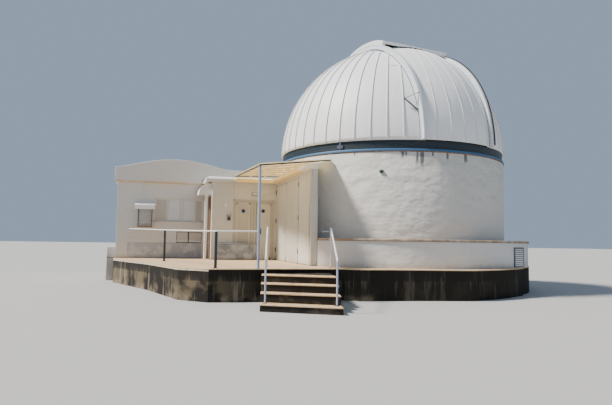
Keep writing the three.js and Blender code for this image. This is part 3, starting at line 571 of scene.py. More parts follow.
def slab(name, outer, inner, nu, nv, finish, **where):
    """Closed slab between two surfaces given as functions of u and v, 0 to 1."""
    points, row, size = [], nv + 1, (nu + 1) * (nv + 1)
    for surface in (outer, inner):
        points += [surface(i / nu, j / nv) for i in range(nu + 1) for j in range(nv + 1)]
    faces = []
    for i in range(nu):
        for j in range(nv):
            a = i * row + j
            faces.append((a, a + row, a + row + 1, a + 1))
            faces.append((size + a, size + a + 1, size + a + row + 1, size + a + row))
    rim = [i * row for i in range(nu)] + [nu * row + j for j in range(nv)]
    rim += [i * row + nv for i in range(nu, 0, -1)] + list(range(nv, 0, -1))
    for a, b in zip(rim, rim[1:] + rim[:1]):
        faces.append((a, b, size + b, size + a))
    return piece(name, points, faces, finish, **where)


def turned(name, profile, steps, finish, span=(0, 360), **where):
    """Band turned round the axis over a span of degrees; a whole turn closes it."""
    start, sweep = span[0], span[1] - span[0]
    whole = sweep > 359.9
    count, rings, points = len(profile), steps + (not whole), []
    for k in range(rings):
        a = math.radians(start + sweep * k / steps)
        points += [(r * math.cos(a), r * math.sin(a), z) for r, z in profile]
    faces = []
    for k in range(steps):
        here, there = k * count, (k + 1) % rings * count
        for i in range(count):
            after = (i + 1) % count
            faces.append((here + i, here + after, there + after, there + i))
    if not whole:
        faces += [tuple(range(count)), tuple(range((rings - 1) * count, rings * count))[::-1]]
    return piece(name, points, faces, finish, **where)


def corners(x0, x1, y0, y1, z0, z1):
    return [(x, y, z) for x in (x0, x1) for y in (y0, y1) for z in (z0, z1)]


def blocks(name, boxes, finish, bevel, slot, body="building"):
    """Boxes with rounded edges in one piece; each is (x0, x1, y0, y1, z0, z1)."""
    points, faces = [], []
    for n, box in enumerate(boxes):
        points += corners(*box)
        faces += [tuple(8 * n + k for k in face) for face in BOX_FACES]
    made = piece(name, points, faces, finish, body, slot)
    return rounded(made, bevel) if bevel else made


def extruded(name, profile, x0, x1, finish, bevel, slot):
    """A (y, z) outline drawn out along X."""
    n = len(profile)
    points = [(x, y, z) for x in (x0, x1) for y, z in profile]
    faces = [tuple(range(n)), tuple(range(n, 2 * n))[::-1]]
    faces += [(k, (k + 1) % n, n + (k + 1) % n, n + k) for k in range(n)]
    return rounded(piece(name, points, faces, finish, slot=slot), bevel)


def rounded(thing, width, angle=30):
    bevel = thing.modifiers.new("round", "BEVEL")
    bevel.width, bevel.segments = width, 2
    bevel.limit_method, bevel.angle_limit = "ANGLE", math.radians(angle)
    return thing


def spun(thing, degrees):
    """Turn the mesh itself round the building's axis."""
    thing.data.transform(Matrix.Rotation(math.radians(degrees), 4, "Z"))


def moved(thing, spot, pose=Matrix()):
    """Move the mesh itself to a spot, posed by a matrix before that."""
    thing.data.transform(Matrix.Translation(spot) @ pose)


def on_plane(r, w, up):
    """Point w sideways of the slit and up its arc, r measured in the upright plane at w."""
    e = math.radians(up)
    d = r * math.cos(e)
    return Vector((d * math.cos(SLIT) - w * math.sin(SLIT),
                   d * math.sin(SLIT) + w * math.cos(SLIT), AXIS.z + r * math.sin(e)))


def ball(radius):
    """Gives that r for a point of the sphere round the dome's centre."""
    return lambda w, up: math.sqrt(radius * radius - w * w)


def on_slit(radius, w, up):
    return on_plane(ball(radius)(w, up), w, up)


print("mesh helpers ready")

# %% [markdown]
# ## Geometry Nodes for what repeats
# Seams, tubes, slats and wires all repeat or follow a path. Three trees make
# them: one sweeps a flat strip along bare edges, one sweeps a round tube with
# soft bends, and one sets copies in a row. `grown` runs a tree once and keeps
# the plain mesh, so no modifier is left.

# %% Growing trees
class Graph(Nodes):
    """A Geometry Nodes tree; its own inputs are fields, found by name."""

    def __init__(self, name, **inputs):
        super().__init__(bpy.data.node_groups.new(name, "GeometryNodeTree"), "GeometryNode")
        for label, way, kind in (("Geometry", "INPUT", "Geometry"),
                                 *((label, "INPUT", kind) for label, kind in inputs.items()),
                                 ("Geometry", "OUTPUT", "Geometry")):
            self.tree.interface.new_socket(
                label, in_out=way, socket_type="NodeSocket" + kind)
        given = self.tree.nodes.new("NodeGroupInput").outputs
        self.given = {socket.name: Field(self, socket) for socket in given}

    def finish(self, geometry, material):
        real = self.node("RealizeInstances", None, {0: geometry})
        self.end("NodeGroupOutput",
                 self.node("SetMaterial", None, {0: real, "Material": material}))
        return self.tree

    def sweep(self, kind, settings, values, section, material):
        """Sweep a section along the bare edges, after one node has shaped the line."""
        line = self.node("MeshToCurve", None, {0: self.given["Geometry"]})
        line = self.node(kind, settings, {"Curve": line, **values})
        swept = self.node("CurveToMesh", None, {
            "Curve": line, "Profile Curve": section, "Fill Caps": True})
        return self.finish(swept, material)


def strip_tree(material):
    g = Graph("folded_strip", Width="Float", Height="Float")
    section = g.node("CurvePrimitiveQuadrilateral", None, {
        "Width": g.given["Width"], "Height": g.given["Height"]})
    return g.sweep("SetCurveNormal", {"mode": "Z_UP"}, {}, section, material)


def tube_tree(material):
    g = Graph("tube_run", Radius="Float", Bend="Float", Sides="Int")
    section = g.node("CurvePrimitiveCircle", None, {
        "Resolution": g.given["Sides"], "Radius": g.given["Radius"]})
    return g.sweep("FilletCurve", {"mode": "POLY"}, {
        "Count": 5, "Radius": g.given["Bend"], "Limit Radius": True}, section, material)


def row_tree(material):
    g = Graph("slat_row", Count="Int", Step="Vector")
    spots = g.node("MeshLine", None, {"Count": g.given["Count"], "Offset": g.given["Step"]})
    copies = g.node("InstanceOnPoints", None, {"Points": spots, "Instance": g.given["Geometry"]})
    return g.finish(copies, material)


def grown(name, source, tree, body, slot, **inputs):
    """Run a tree over a mesh and keep the plain result as a piece of one body."""
    carrier = bpy.data.objects.new(name + "_lines", source)
    bpy.context.scene.collection.objects.link(carrier)
    modifier = carrier.modifiers.new("grow", "NODES")
    modifier.node_group = tree
    for socket in tree.interface.items_tree:
        if socket.name in inputs:
            modifier[socket.identifier] = inputs[socket.name]
    ready = carrier.evaluated_get(bpy.context.evaluated_depsgraph_get())
    mesh = bpy.data.meshes.new_from_object(ready)
    mesh.name = name
    bpy.data.objects.remove(carrier)
    return dressed(name, mesh, mesh.materials[0], body, slot)


def lines_mesh(name, lines):
    points, edges = [], []
    for line in lines:
        start = len(points)
        points += line
        edges += [(start + i, start + i + 1) for i in range(len(line) - 1)]
    return plain_mesh(name, points, edges, [])


def tubes(name, lines, radius, finish, slot, body="building", bend=0.05, sides=16):
    return grown(name, lines_mesh(name + "_path", lines), tube_tree(finish), body, slot,
                 Radius=radius, Bend=bend, Sides=sides)


def row(name, box, finish, slot, count, step, lean=0.0, kick=0.0):
    """A row of one box; lean pushes its top edge along Y, kick its foot along X."""
    top = box[5]
    points = [(x + (kick if z < top else 0), y + (lean if z == top else 0), z)
              for x, y, z in corners(*box)]
    mesh = plain_mesh(name + "_one", points, [], BOX_FACES)
    return grown(name, mesh, row_tree(finish), "building", slot, Count=count, Step=step)


print("growing trees ready")

# %% [markdown]
# ## Softened walls
# The plain walls are exact, so most of them only need soft plaster edges. A copy
# of each is merged, its flat faces are dissolved into whole ones, and a bevel
# rounds what is left. The round walls get smooth normals in the same step.

# %% Softened copies of the solids
def softened(node, finish, slot, width=0.012, smooth=40):
    mesh, shape = nodes[node].data.copy(), bmesh.new()
    shape.from_mesh(mesh)
    bmesh.ops.remove_doubles(shape, verts=shape.verts, dist=2e-4)
    bmesh.ops.dissolve_limit(shape, angle_limit=math.radians(0.6),
                             verts=shape.verts, edges=shape.edges)
    shape.to_mesh(mesh)
    shape.free()
    made = dressed(node + "_finished", mesh, finish, "building", slot, smooth)
    if width:
        rounded(made, width, 35)
    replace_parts(made, node)


for name in ("entrance_wall", "entrance_lintel", "portal_pier", "portal_lintel"):
    softened(name, wall_finish, "render")
softened("lobby_roof", eave_finish, "coping", 0.015)
softened("side_hood", hood_render, "render", 0.01)
softened("annex_front", annex_finish, "render", 0.018)
softened("annex_walls", annex_finish, "render", 0.018)
softened("annex_roof", roof_finish, "roofing", 0)
softened("screen_wall", dado_finish, "tile_band", 0.01)
softened("platform", concrete_finish, "concrete", 0.01, smooth=20)
softened("paving", screed_finish, "paving", 0.006, smooth=20)
for k, top in enumerate((0.160, 0.372, 0.560, 0.738), 1):
    softened(f"stair_step_{k}", stair_concrete(k, top), "concrete", 0.006)

# %% [markdown]
# ## Drum, skirt and coping
# The drum is cut into segments in the solids so that physics can go inside. The
# eye should see one smooth wall, so a turned band with fine steps stands for all
# of them. The skirt and its coping are softened copies with smooth normals.

# %% Drum
DRUM_IN, DRUM_OUT = 3.80, 4.05
CLEAR = PAVING + 0.0003
wall_profile = [(DRUM_IN, CLEAR), (DRUM_OUT, CLEAR), (DRUM_OUT, WALL_TOP - 0.01),
                (DRUM_OUT - 0.006, WALL_TOP), (DRUM_IN, WALL_TOP)]
drum = turned("drum", wall_profile, 250, drum_finish, span=(202.55, 513.7), slot="render")
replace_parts(drum, "drum_wall_1", "drum_wall_2", "drum_wall_3", "drum_wall_4")
softened("drum_lintel", drum_finish, "render", 0)
softened("plinth_front", plinth_finish, "render", 0.006, smooth=20)
softened("plinth_back", plinth_finish, "render", 0.006, smooth=20)
softened("coping", coping_finish, "coping", 0.012, smooth=20)
flashing = [(4.046, 4.335), (4.055, 4.338), (4.055, 4.3696), (4.046, 4.3696)]
turned("drum_flashing", flashing, 240, rust_strip, slot="coping")
print("drum made")

# %% [markdown]
# ## Dome shells
# The dome is a sphere cut by the slit. A fine surface is turned for each shell,
# planes keep the part of it that the shell needs, and Solidify gives the sheet
# its thickness on the inside.

# %% Shells
DOME_R, SHELL_T = 4.05, 0.06
SLIT_SIDE = Vector((-math.sin(SLIT), math.cos(SLIT), 0))
SLIT_AHEAD = Vector((math.cos(SLIT), math.sin(SLIT), 0))


def way(azimuth, rise, long=1):
    """A vector of some length at two angles in radians."""
    flat = long * math.cos(rise)
    return Vector((flat * math.cos(azimuth), flat * math.sin(azimuth), long * math.sin(rise)))


def dome_mesh(name, turns=200, rises=52):
    points = [AXIS + Vector((0, 0, DOME_R))]
    for j in range(rises):
        points += [AXIS + way(2 * math.pi * i / turns, math.pi / 2 * j / rises, DOME_R)
                   for i in range(turns)]
    faces = []
    for start in range(1, 1 + (rises - 1) * turns, turns):
        for i in range(turns):
            a, b = start + i, start + (i + 1) % turns
            faces.append((a, b, b + turns, a + turns))
    last = 1 + (rises - 1) * turns
    faces += [(last + i, last + (i + 1) % turns, 0) for i in range(turns)]
    return plain_mesh(name, points, [], faces)


def shell(name, cuts):
    """The part of the dome inside all cuts, each a point and the way off it."""
    mesh, shape = dome_mesh(name), bmesh.new()
    shape.from_mesh(mesh)
    for at, away in cuts:
        bmesh.ops.bisect_plane(
            shape, geom=shape.verts[:] + shape.edges[:] + shape.faces[:],
            plane_co=at, plane_no=away, clear_outer=True, dist=1e-6)
    bmesh.ops.recalc_face_normals(shape, faces=shape.faces)
    face = max(shape.faces, key=lambda f: f.calc_area())
    if face.normal.dot(face.calc_center_median() - AXIS) < 0:
        bmesh.ops.reverse_faces(shape, faces=shape.faces[:])
    shape.to_mesh(mesh)
    shape.free()
    made = dressed(name, mesh, white_metal, "dome", "dome", 30)
    thick = made.modifiers.new("sheet", "SOLIDIFY")
    thick.thickness, thick.offset = SHELL_T, -1
    return made


side = SLIT_SIDE * 1.235
up = math.radians(62)
past_top = Vector((0, 0, math.cos(up))) - SLIT_AHEAD * math.sin(up)
for name, cut in (("left", (-side, SLIT_SIDE)), ("right", (side, -SLIT_SIDE))):
    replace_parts(shell("shell_" + name, [cut]), *(
        f"dome_shell_{name}_{part}" for part in ("front", "middle", "back", "crown")))
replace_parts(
    shell("shell_top", [(-side * 0.9997, -SLIT_SIDE), (side * 0.9997, SLIT_SIDE),
                        (AXIS, -past_top)]), "dome_shell_top")
print("shells made")

# %% [markdown]
# ## Standing seams
# The trays are folded together in raised seams that run up the meridians and
# stop at the curbs. A bare line of edges marks each seam, and the strip tree
# sweeps the fold along all of them. The shutter carries low seams on the same
# meridians, which are low enough to slide under the hood.

# %% Seams
def seam_line(azimuth, lift, on_shutter=False):
    """Points up one meridian, ending where a curb or the slit begins."""
    line = []
    for step in range(3, 890, 9):
        spot = (DOME_R + lift) * way(math.radians(azimuth), math.radians(step / 10))
        w, d = spot.dot(SLIT_SIDE), spot.dot(SLIT_AHEAD)
        rise = math.degrees(math.atan2(spot.z, d))
        if on_shutter:
            if abs(w) < 1.20 and rise < 69.4:
                line.append(spot + AXIS)
            elif line:
                break
        elif abs(w) < 1.395 and rise < 142:
            break
        else:
            line.append(spot + AXIS)
    return line


fold = strip_tree(seam_metal_painted_shade)
meridians = [seam_line(FIRST_SEAM + TRAY * k, 0.0135) for k in range(TRAYS)]
meridians = [line for line in meridians if len(line) > 3]
grown("dome_seams", lines_mesh("meridians", meridians), fold, "dome", "dome",
      Width=0.014, Height=0.037)
joint = [AXIS + 4.054 * way(math.radians(a), math.radians(40.2))
         for a in (244.2, 246.5, 248.5, 250.4)]
grown("tray_joint", lines_mesh("joint_line", [joint]), fold, "dome", "dome",
      Width=0.012, Height=0.012)
print("dome seams", len(meridians))

# %% [markdown]
# ## Curbs, shutter and hood
# The curbs are the two rails along the slit, level across their top. The shutter
# slides up between them and under the hood, which closes the top. All follow the
# same arc, so they come from one slab function with finer steps than the solids.

# %% Slit pieces
CURB_TOP = 4.0103
HOOD_W, HOOD_RISE, HOOD_BACK = 1.37, 66.5, 103


def arc_slab(name, outer, inner, w, rise, steps, finish, body="dome", soft=35):
    """Slab along the slit; a radius is a number or a function of w and the rise."""
    def face(radius):
        def at(u, v):
            across, up = w[0] + (w[1] - w[0]) * v, rise[0] + (rise[1] - rise[0]) * u
            return on_plane(radius(across, up) if callable(radius) else radius, across, up)
        return at
    return slab(name, face(outer), face(inner), *steps, finish, body=body, slot="dome",
                soft=soft)


def hood_top(w, up):
    return max(4.165 - 0.105 * max(0, (up - 72) / 31), math.sqrt(4.138 ** 2 - w * w))


def hood_under(w, up):
    return hood_top(w, up) - 0.03


def hood_lap(w, up):
    return hood_under(w, up) + 0.004


def lip_edge(w, up):
    """The lip stands clear of the shutter, most of all at its left end."""
    if abs(w) > 1.26:
        return CURB_TOP
    clear = math.sqrt(4.118 ** 2 - w * w) + 0.008 * (w < 0.3)
    return max(4.07 if w < -0.6 else CURB_TOP, clear)


for side in (-1, 1):
    name = "curb_left" if side < 0 else "curb_right"
    inner, outer = 1.27 * side, 1.38 * side
    rail = arc_slab(name + "_rail", 4.01, ball(4.02), sorted((inner, outer)), (0.05, 141),
                    (120, 1), curb_paint)
    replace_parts(rounded(rail, 0.008), name)
    for label, low in (("lip", 3.985), ("step", 3.85)):
        arc_slab(f"{name}_{label}", low + 0.018, low, (outer, outer + 0.012 * side),
                 (0.2, 140.5), (100, 1), curb_paint)
    arc_slab(name + "_seal", ball(4.056), ball(4.03), (outer, outer + 0.016 * side),
             (0.3, 140.5), (100, 1), seal_grey)
cover = arc_slab("shutter_sheet", ball(4.088), ball(4.062), (-1.245, 1.245), (0.15, 70),
                 (64, 16), shutter_metal, "shutter")
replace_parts(rounded(cover, 0.006), "shutter")
shutter_lines = [seam_line(a, 0.0435, True) for a in (265.8, 273.0, 280.2, 287.4, 294.6)]
grown("shutter_seams", lines_mesh("shutter_lines", shutter_lines), fold, "shutter", "dome",
      Width=0.012, Height=0.016)
arc_slab("shutter_flange", ball(4.102), ball(4.08), (1.215, 1.24), (0.3, 69.5), (70, 1),
         curb_paint, "shutter")
# painted shadow: a dark strip beside the left curb, where the hood's left cheek casts its shadow
# on the shell
arc_slab("hood_cheek_shadow", ball(4.09), ball(4.03), (-1.402, -1.384), (63, 77), (16, 1), slate_steel)
# painted shadow: a black strip along the outer top edge of the right curb
arc_slab("curb_shadow_strip", 4.043, 4.0195, (1.345, 1.379), (0.5, 66.4), (100, 1), shadow_black)
# black sheets in the gaps between the shutter and the curbs are painted shade
for name, w in (("gap_shade_right", (1.247, 1.268)), ("gap_shade_left", (-1.268, -1.247))):
    arc_slab(name, ball(4.052), ball(4.03), w, (0.3, 61.5), (60, 1), shadow_black)
hood = arc_slab("hood_sheet", hood_top, hood_under, (-HOOD_W, HOOD_W),
                (HOOD_RISE, HOOD_BACK), (48, 40), hood_paint)
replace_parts(rounded(hood, 0.006), "hood")
# the lip and its fold take the whiter lid paint as painted sunlight, lighter than the hood sheet
arc_slab("hood_lip", hood_lap, lip_edge, (-HOOD_W, HOOD_W), (HOOD_RISE, 67), (1, 60), lid_white,
         soft=20)
arc_slab("hood_lip_fold", lambda w, up: hood_top(w, up) + 0.004, hood_lap, (-1.374, 1.374),
         (66.3, 66.8), (1, 60), lid_white, soft=20)
for name, w in (("hood_cheek_left", (-HOOD_W, -1.34)), ("hood_cheek_right", (1.34, HOOD_W))):
    arc_slab(name, hood_lap, CURB_TOP, w, (66.9, HOOD_BACK), (48, 1), hood_paint)
print("slit pieces made")

# %% [markdown]
# ## The stay on the left curb
# A small triangle of bars stands on the outside of the left curb: a thin upper arm, a lower arm
# made thick and dark so that it also paints its shadow on the shell, and an upright along the curb
# between their feet.

# %% Stay
root, low = on_plane(3.99, -1.386, 21.8), on_slit(4.06, -1.41, 14.6)
tip = on_slit(4.18, -1.79, 20.0)
for name, line, radius, finish in (("upper_arm", [root, tip], 0.013, blue_steel),
                                   # the lower arm is thick and dark: a bar together with its
                                   # painted shadow on the shell
                                   ("lower_arm_and_shadow", [low, tip], 0.024, slate_steel),
                                   ("upright", [root, low], 0.013, curb_paint)):
    tubes("stay_" + name, [line], radius, finish, "dome", "dome", 0)
shape, mesh = bmesh.new(), bpy.data.meshes.new("stay_knobs")
for spot, size in ((tip, 0.032), (low, 0.036), (root, 0.026)):
    bmesh.ops.create_icosphere(shape, subdivisions=2, radius=size,
                               matrix=Matrix.Translation(spot))
shape.to_mesh(mesh)
shape.free()
dressed("stay_knobs", mesh, slate_steel, "dome", "dome")
print("stay made")

# %% [markdown]
# ## Ring and track
# The dome turns on a dark ring that runs on a bright blue track.

# %% Ring and track
ring_profile = [(3.90, 4.4403), (4.02, 4.4403), (4.02, 4.50), (4.005, 4.51), (4.005, 4.66),
                (4.02, 4.67), (4.02, 4.7097), (3.90, 4.7097)]
ring = turned("turning_ring", ring_profile, 288, ring_paint, body="dome", slot="ring")
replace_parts(ring, "dome_ring")
track_profile = [(3.85, 4.3703), (4.075, 4.3703), (4.075, 4.382), (4.062, 4.387),
                 (4.062, 4.428), (4.055, 4.44), (3.85, 4.44)]
track = turned("blue_track", track_profile, 288, track_paint, slot="track")
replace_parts(track, "track_ring")
spun(blocks("ring_bracket", [(4.0, 4.052, -0.10, 0.10, 4.50, 4.60),
                             (4.0, 4.062, -0.03, 0.03, 4.46, 4.66)],
            slate_steel, 0.004, "ring", "dome"), 223)
print("ring and track made")

# %% [markdown]
# ## Railings
# Every rail is a bent tube, swept along a short path by the tube tree. The stair
# rails are white above and blue-grey at the foot; the terrace posts are old
# square steel with a flat cap, and a thin wire runs between them.

# %% Railings
def handrail(name, low, high, low_z, step_top=0.1603):
    path = [(*low, step_top), (*low, low_z), (*high, 1.975), (*high, CLEAR)]
    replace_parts(tubes(name + "_tube", [path], 0.021, rail_two_tone, "rail"), name)
    profile = [(0.021, 0.0005), (0.055, 0.0005), (0.055, 0.008), (0.021, 0.012)]
    for k, spot in enumerate(((*low, step_top), (*high, PAVING))):
        moved(turned(f"{name}_foot_{k}", profile, 24, post_dark, slot="rail"), spot)


handrail("handrail_left", (-6.017, -6.379), (-5.383, -3.518), 1.20)
handrail("handrail_right", (-4.540, -7.115), (-3.689, -4.119), 1.159)
tubes("handrail_stub", [[(-3.689, -4.119, 1.87), (-3.93, -4.05, 1.87)]], 0.015,
      blue_steel, "rail", bend=0)

rail_top = [(-5.886, -4.602, 1.825), (-6.93, -4.38, 1.81), (-8.12, 0.07, 1.89),
            (-9.385, 3.099, 1.963)]
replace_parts(tubes("terrace_rail", [rail_top], 0.020, rail_white, "old_rail"), "terrace_railing")
posts = []
for x, y, z in rail_top[1:3]:
    posts += [(x - half, x + half, y - half, y + half, z0, z1) for half, z0, z1 in (
        (0.035, CLEAR, z - 0.02), (0.041, z - 0.032, z - 0.019), (0.07, 0.8504, 0.862))]
blocks("terrace_posts", posts, post_dark, 0.005, "old_rail")
edge_line = [(x, y, 0.804)
             for x, y in ((-9.85, 2.3), (-8.65, -0.9), (-7.85, -3.9), (-7.13, -4.655))]
grown("terrace_edge", lines_mesh("edge_line", [edge_line]), strip_tree(edge_mortar),
      "building", "paving", Width=0.016, Height=0.041)
wire = [(x, y, PAVING + (z - PAVING) * 0.69) for x, y, z in rail_top]
tubes("terrace_wire", [wire], 0.006, wire_metal, "old_rail", bend=0.02, sides=8)
print("railings made")

# %% [markdown]
# ## Canopy
# The sheet is warped between four corners at four heights. A sine across the
# slope gives its ribs, the free edge is a little torn, and the points near the
# drum stop just short of the wall. Battens and tubes carry it.

# %% Canopy
CORNERS = [Vector(c) for c in ((-5.6, 1.6, 3.985), (-5.9, -4.85, 3.56),
                               (-3.2, -2.6, 4.15), (-3.9, 1.6, 4.06))]


def canopy_point(s, t, lift=0.0):
    a, b, c, d = CORNERS
    wall, free = a.lerp(d, s), b.lerp(c, s)
    return wall.lerp(free, t) + Vector((0, 0, lift))


def canopy_reach(t):
    """How far across the sheet goes before it meets the drum."""
    for k in range(401):
        spot = canopy_point(1 - k / 400, t)
        if math.hypot(spot.x, spot.y) > 4.06:
            return 1 - k / 400
    return 0.0


reach = [canopy_reach(j / 96) for j in range(97)]
random.seed(11)
tears = [random.random() ** 3 * 0.02 for _ in range(361)]


def canopy_face(lift):
    def at(u, v):
        t = v * (1 - tears[round(u * 360)] * (v > 0.98))
        s = u * reach[round(v * 96)]
        return canopy_point(s, t, lift + 0.009 * math.sin(2 * math.pi * s * 36))
    return at


sheet = slab("canopy_ribs", canopy_face(0.0325), canopy_face(0.0295), 360, 96, sheet_finish,
             slot="canopy_sheet", soft=60)
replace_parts(sheet, "canopy_sheet")


def offset(point, x, y, z):
    return point + Vector((x, y, z))


a, b, c, d = CORNERS
beams = [[offset(a, 0.03, -0.025, -0.009), offset(b, 0.03, 0.03, -0.009)],
         [offset(b, 0, 0.05, -0.009), offset(c, 0, 0, -0.009)]]
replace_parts(tubes("canopy_beams", beams, 0.022, dark_metal, "steel", bend=0), "canopy_frame")
tubes("canopy_back_beam", [[offset(a, 0, -0.02, -0.004), offset(d, 0.02, -0.02, -0.004)]],
      0.018, brown_wood, "steel", bend=0)
px, py = -5.85, -4.61
tubes("canopy_post", [[(px, py, CLEAR), (px, py, b.z + 0.004)]], 0.037, blue_steel, "steel",
      bend=0, sides=24)
blocks("canopy_post_foot", [(px - 0.07, px + 0.07, py - 0.042, py + 0.08, 0.8504, 0.860)],
       blue_steel, 0.004, "steel")
blocks("canopy_post_clamp", [(px + 0.034, px + 0.060, py - 0.03, py + 0.03, 1.75, 1.90)],
       slate_steel, 0.004, "steel")


def batten_face(t, s1, lift, s0=0.006, wide=0.022, slope=3.2):
    """One side of a batten that runs across the sheet at t, up to s1."""
    return lambda u, v: canopy_point(s0 + (s1 - s0) * u, t + (v - 0.5) * wide / slope, lift)


for k, t in enumerate((0.13, 0.30, 0.47, 0.64, 0.81)):
    end = canopy_reach(t) - 0.006
    slab(f"canopy_batten_{k}", batten_face(t, end, 0.016), batten_face(t, end, -0.020), 24, 1,
         batten_wood, slot="steel")
for k, s in enumerate((0.33, 0.66)):
    ends = [canopy_point(s, t, -0.012) for t in (0.01, 0.2, 0.4, 0.6, 0.8, 0.985)]
    ends = [p for p in ends if math.hypot(p.x, p.y) > 4.09]
    tubes(f"canopy_rafter_{k}", [ends], 0.016, batten_wood, "steel", bend=0.02, sides=10)
print("canopy made")

# %% [markdown]
# ## Doors
# The entrance has a fixed leaf and a turning one, each with a round pane. The
# portal has two tall sheet-metal leaves on strap hinges. Folded rims and seams
# make them read as sheet metal.

# %% Doors
DOOR = "door", "entrance_door"


def rims(x0, x1, z0, z1, y=1.845, wide=0.05, proud=0.005):
    """Four folded strips round a leaf that faces the front."""
    strips = ((x0, x0 + wide, z0, z1), (x1 - wide, x1, z0, z1),
              (x0, x1, z0, z0 + wide * 1.6), (x0, x1, z1 - wide, z1))
    return [(a, b, y - proud, y + 0.01, c, d) for a, b, c, d in strips]


def hinge_pin(name, radius, height, finish, body, spot):
    profile = [(0, 0), (radius, 0), (radius, height), (0, height)]
    moved(turned(name, profile, 16, finish, body=body, slot="door"), spot)


softened("door_frame", frame_paint, "door", 0.004)
blocks("fixed_leaf_rims", rims(-5.475, -4.945, 0.86, 3.005), door_paint, 0.002, "door")
blocks("door_trim", [(x0, x1, 1.786, 1.7995, z0, 3.135) for x0, x1, z0 in (
    (-5.605, -5.562, 0.852), (-4.058, -4.015, 0.852), (-5.605, -4.015, 3.092))],
    frame_paint, 0.004, "door")
blocks("door_stile_seams", [(x, x + 0.008, 1.824, 1.832, 0.90, 3.05)
                            for x in (-4.925, -4.82, -4.712)], rust_strip, 0, "door")
leaf = blocks("leaf_board", [(-4.682, -4.1361, 1.845, 1.89, 0.858, 3.004)], door_paint, 0.003,
              *DOOR)
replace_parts(leaf, "entrance_leaf")
blocks("leaf_rims", rims(-4.680, -4.140, 0.862, 3.0), door_paint, 0.002, *DOOR)
blocks("leaf_lever", [(-4.652, -4.608, 1.834, 1.847, 1.84, 2.06),
                      (-4.642, -4.618, 1.806, 1.836, 1.94, 1.964),
                      (-4.642, -4.52, 1.806, 1.820, 1.943, 1.961)], dark_metal, 0.004, *DOOR)
for k, z in enumerate((1.08, 1.88, 2.68)):
    hinge_pin(f"leaf_hinge_{k}", 0.0055, 0.1, wire_metal, DOOR[1], (-4.136, 1.89, z))

EDGE = [(0.062, -0.004), (0.080, -0.004), (0.080, 0.010), (0.072, 0.016), (0.062, 0.014)]
PANE = [(0, -0.003), (0.064, -0.003), (0.064, 0.006), (0, 0.008)]
for name, x, z, body in (("porthole_left", -5.21, 2.70, "building"),
                         ("porthole_right", -4.44, 2.72, DOOR[1])):
    for part in (turned(name + "_edge", EDGE, 40, wire_metal, body=body, slot="door"),
                 turned(name + "_pane", PANE, 40, pane_blue, body=body, slot="window")):
        moved(part, (x, 1.844, z), Matrix.Rotation(math.pi / 2, 4, "X"))


def big_leaf(side, y0, y1, hinge_y, inward):
    node = f"big_door_{side}"
    leaf = blocks(node + "_sheet", [(-3.938, -3.888, y0, y1, 0.858, 3.684)], big_door_paint,
                  0.004, "door", node)
    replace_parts(leaf, node)
    edges = [(-3.9435, -3.935, *strip) for strip in (
        (y0, y0 + 0.05, 0.862, 3.68), (y1 - 0.05, y1, 0.862, 3.68),
        (y0, y1, 0.862, 0.95), (y0, y1, 3.62, 3.68))]
    middle = (y0 + y1) / 2
    edges.append((-3.941, -3.935, middle - 0.008, middle + 0.008, 0.9, 3.66))
    blocks(node + "_rims", edges, big_door_paint, 0.002, "door", node)
    ends, straps = sorted((hinge_y + inward * 0.002, hinge_y + inward * 0.08)), []
    for z in (1.17, 2.27, 3.37):
        straps.append((-3.950, -3.937, *ends, z, z + 0.16))
        hinge_pin(f"{node}_pin_{round(z * 100)}", 0.0074, 0.16, dark_metal, node,
                  (-3.949, hinge_y, z))
    blocks(node + "_straps", straps, dark_metal, 0.003, "door", node)


big_leaf("left", 0.154, 1.790, 1.792, -1)
big_leaf("right", -1.540, 0.146, -1.542, 1)
# painted shade: a black strip on the pier beside the right leaf's hinge edge, for the dark gap
# there
blocks("portal_gap_shade", [(-3.9525, -3.9495, -1.573, -1.5515, 0.86, 3.70)], shadow_black, 0,
       "door")
pull = [(x, 0.215, z) for x, z in ((-3.937, 2.02), (-3.967, 2.02), (-3.967, 1.86), (-3.937, 1.86))]
tubes("big_door_pull", [pull], 0.006, dark_metal, "door", "big_door_left", 0.01, 10)
print("doors made")

# %% [markdown]
# ## Window, hatches and cooler
# The window has two bays of blinds between boarded ends; the row tree sets the
# slats. Below it are two hatches with dark joints, and beside it hangs a cooler
# under a folded white lid, in a cage of wires that two more rows make.

# %% Window, hatches and cooler
SILL, HEAD, DEEP = 2.271, 3.159, 3.20
wide_frame = [(x0, x1, y, DEEP, z0, z1) for x0, x1, y, z0, z1 in (
    (-8.449, -8.405, 3.125, SILL, HEAD), (-6.665, -6.621, 3.125, SILL, HEAD),
    (-8.449, -6.621, 3.125, 3.112, HEAD), (-8.449, -6.621, 3.125, SILL, 2.318),
    (-8.03, -7.972, 3.122, 2.29, 3.14), (-7.478, -7.392, 3.118, 2.29, 3.14),
    (-6.958, -6.895, 3.122, 2.29, 3.14))]
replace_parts(blocks("window_bars", wide_frame, window_frame, 0.006, "window"), "window_unit")
blocks("window_boards", [(x0, x1, 3.15, 3.165, 2.31, 3.12) for x0, x1 in (
    (-8.405, -8.03), (-6.895, -6.665))], panel_grey, 0.003, "window")
# painted shade: a dark plate behind the blinds for the dark room behind the window
blocks("window_back_shade", [(-8.03, -6.895, 3.196, 3.208, 2.30, 3.13)], dark_metal, 0, "window")
blocks("window_sill", [(-8.48, -6.59, 3.055, 3.135, 2.232, 2.268)], window_frame, 0.008, "window")
for name, x0, x1 in (("blind_left", -7.968, -7.482), ("blind_right", -7.388, -6.962)):
    row(name, (x0, x1, 3.158, 3.161, 2.322, 2.362), blind_grey, "window", 22, (0, 0, 0.0362),
        lean=0.012)
hatch = [(x0, x1, 3.103, 3.126, 1.473, 1.862) for x0, x1 in ((-7.592, -7.173), (-7.132, -6.658))]
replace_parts(blocks("hatch_boards", hatch, panel_grey, 0.006, "window"), "hatch_panels")
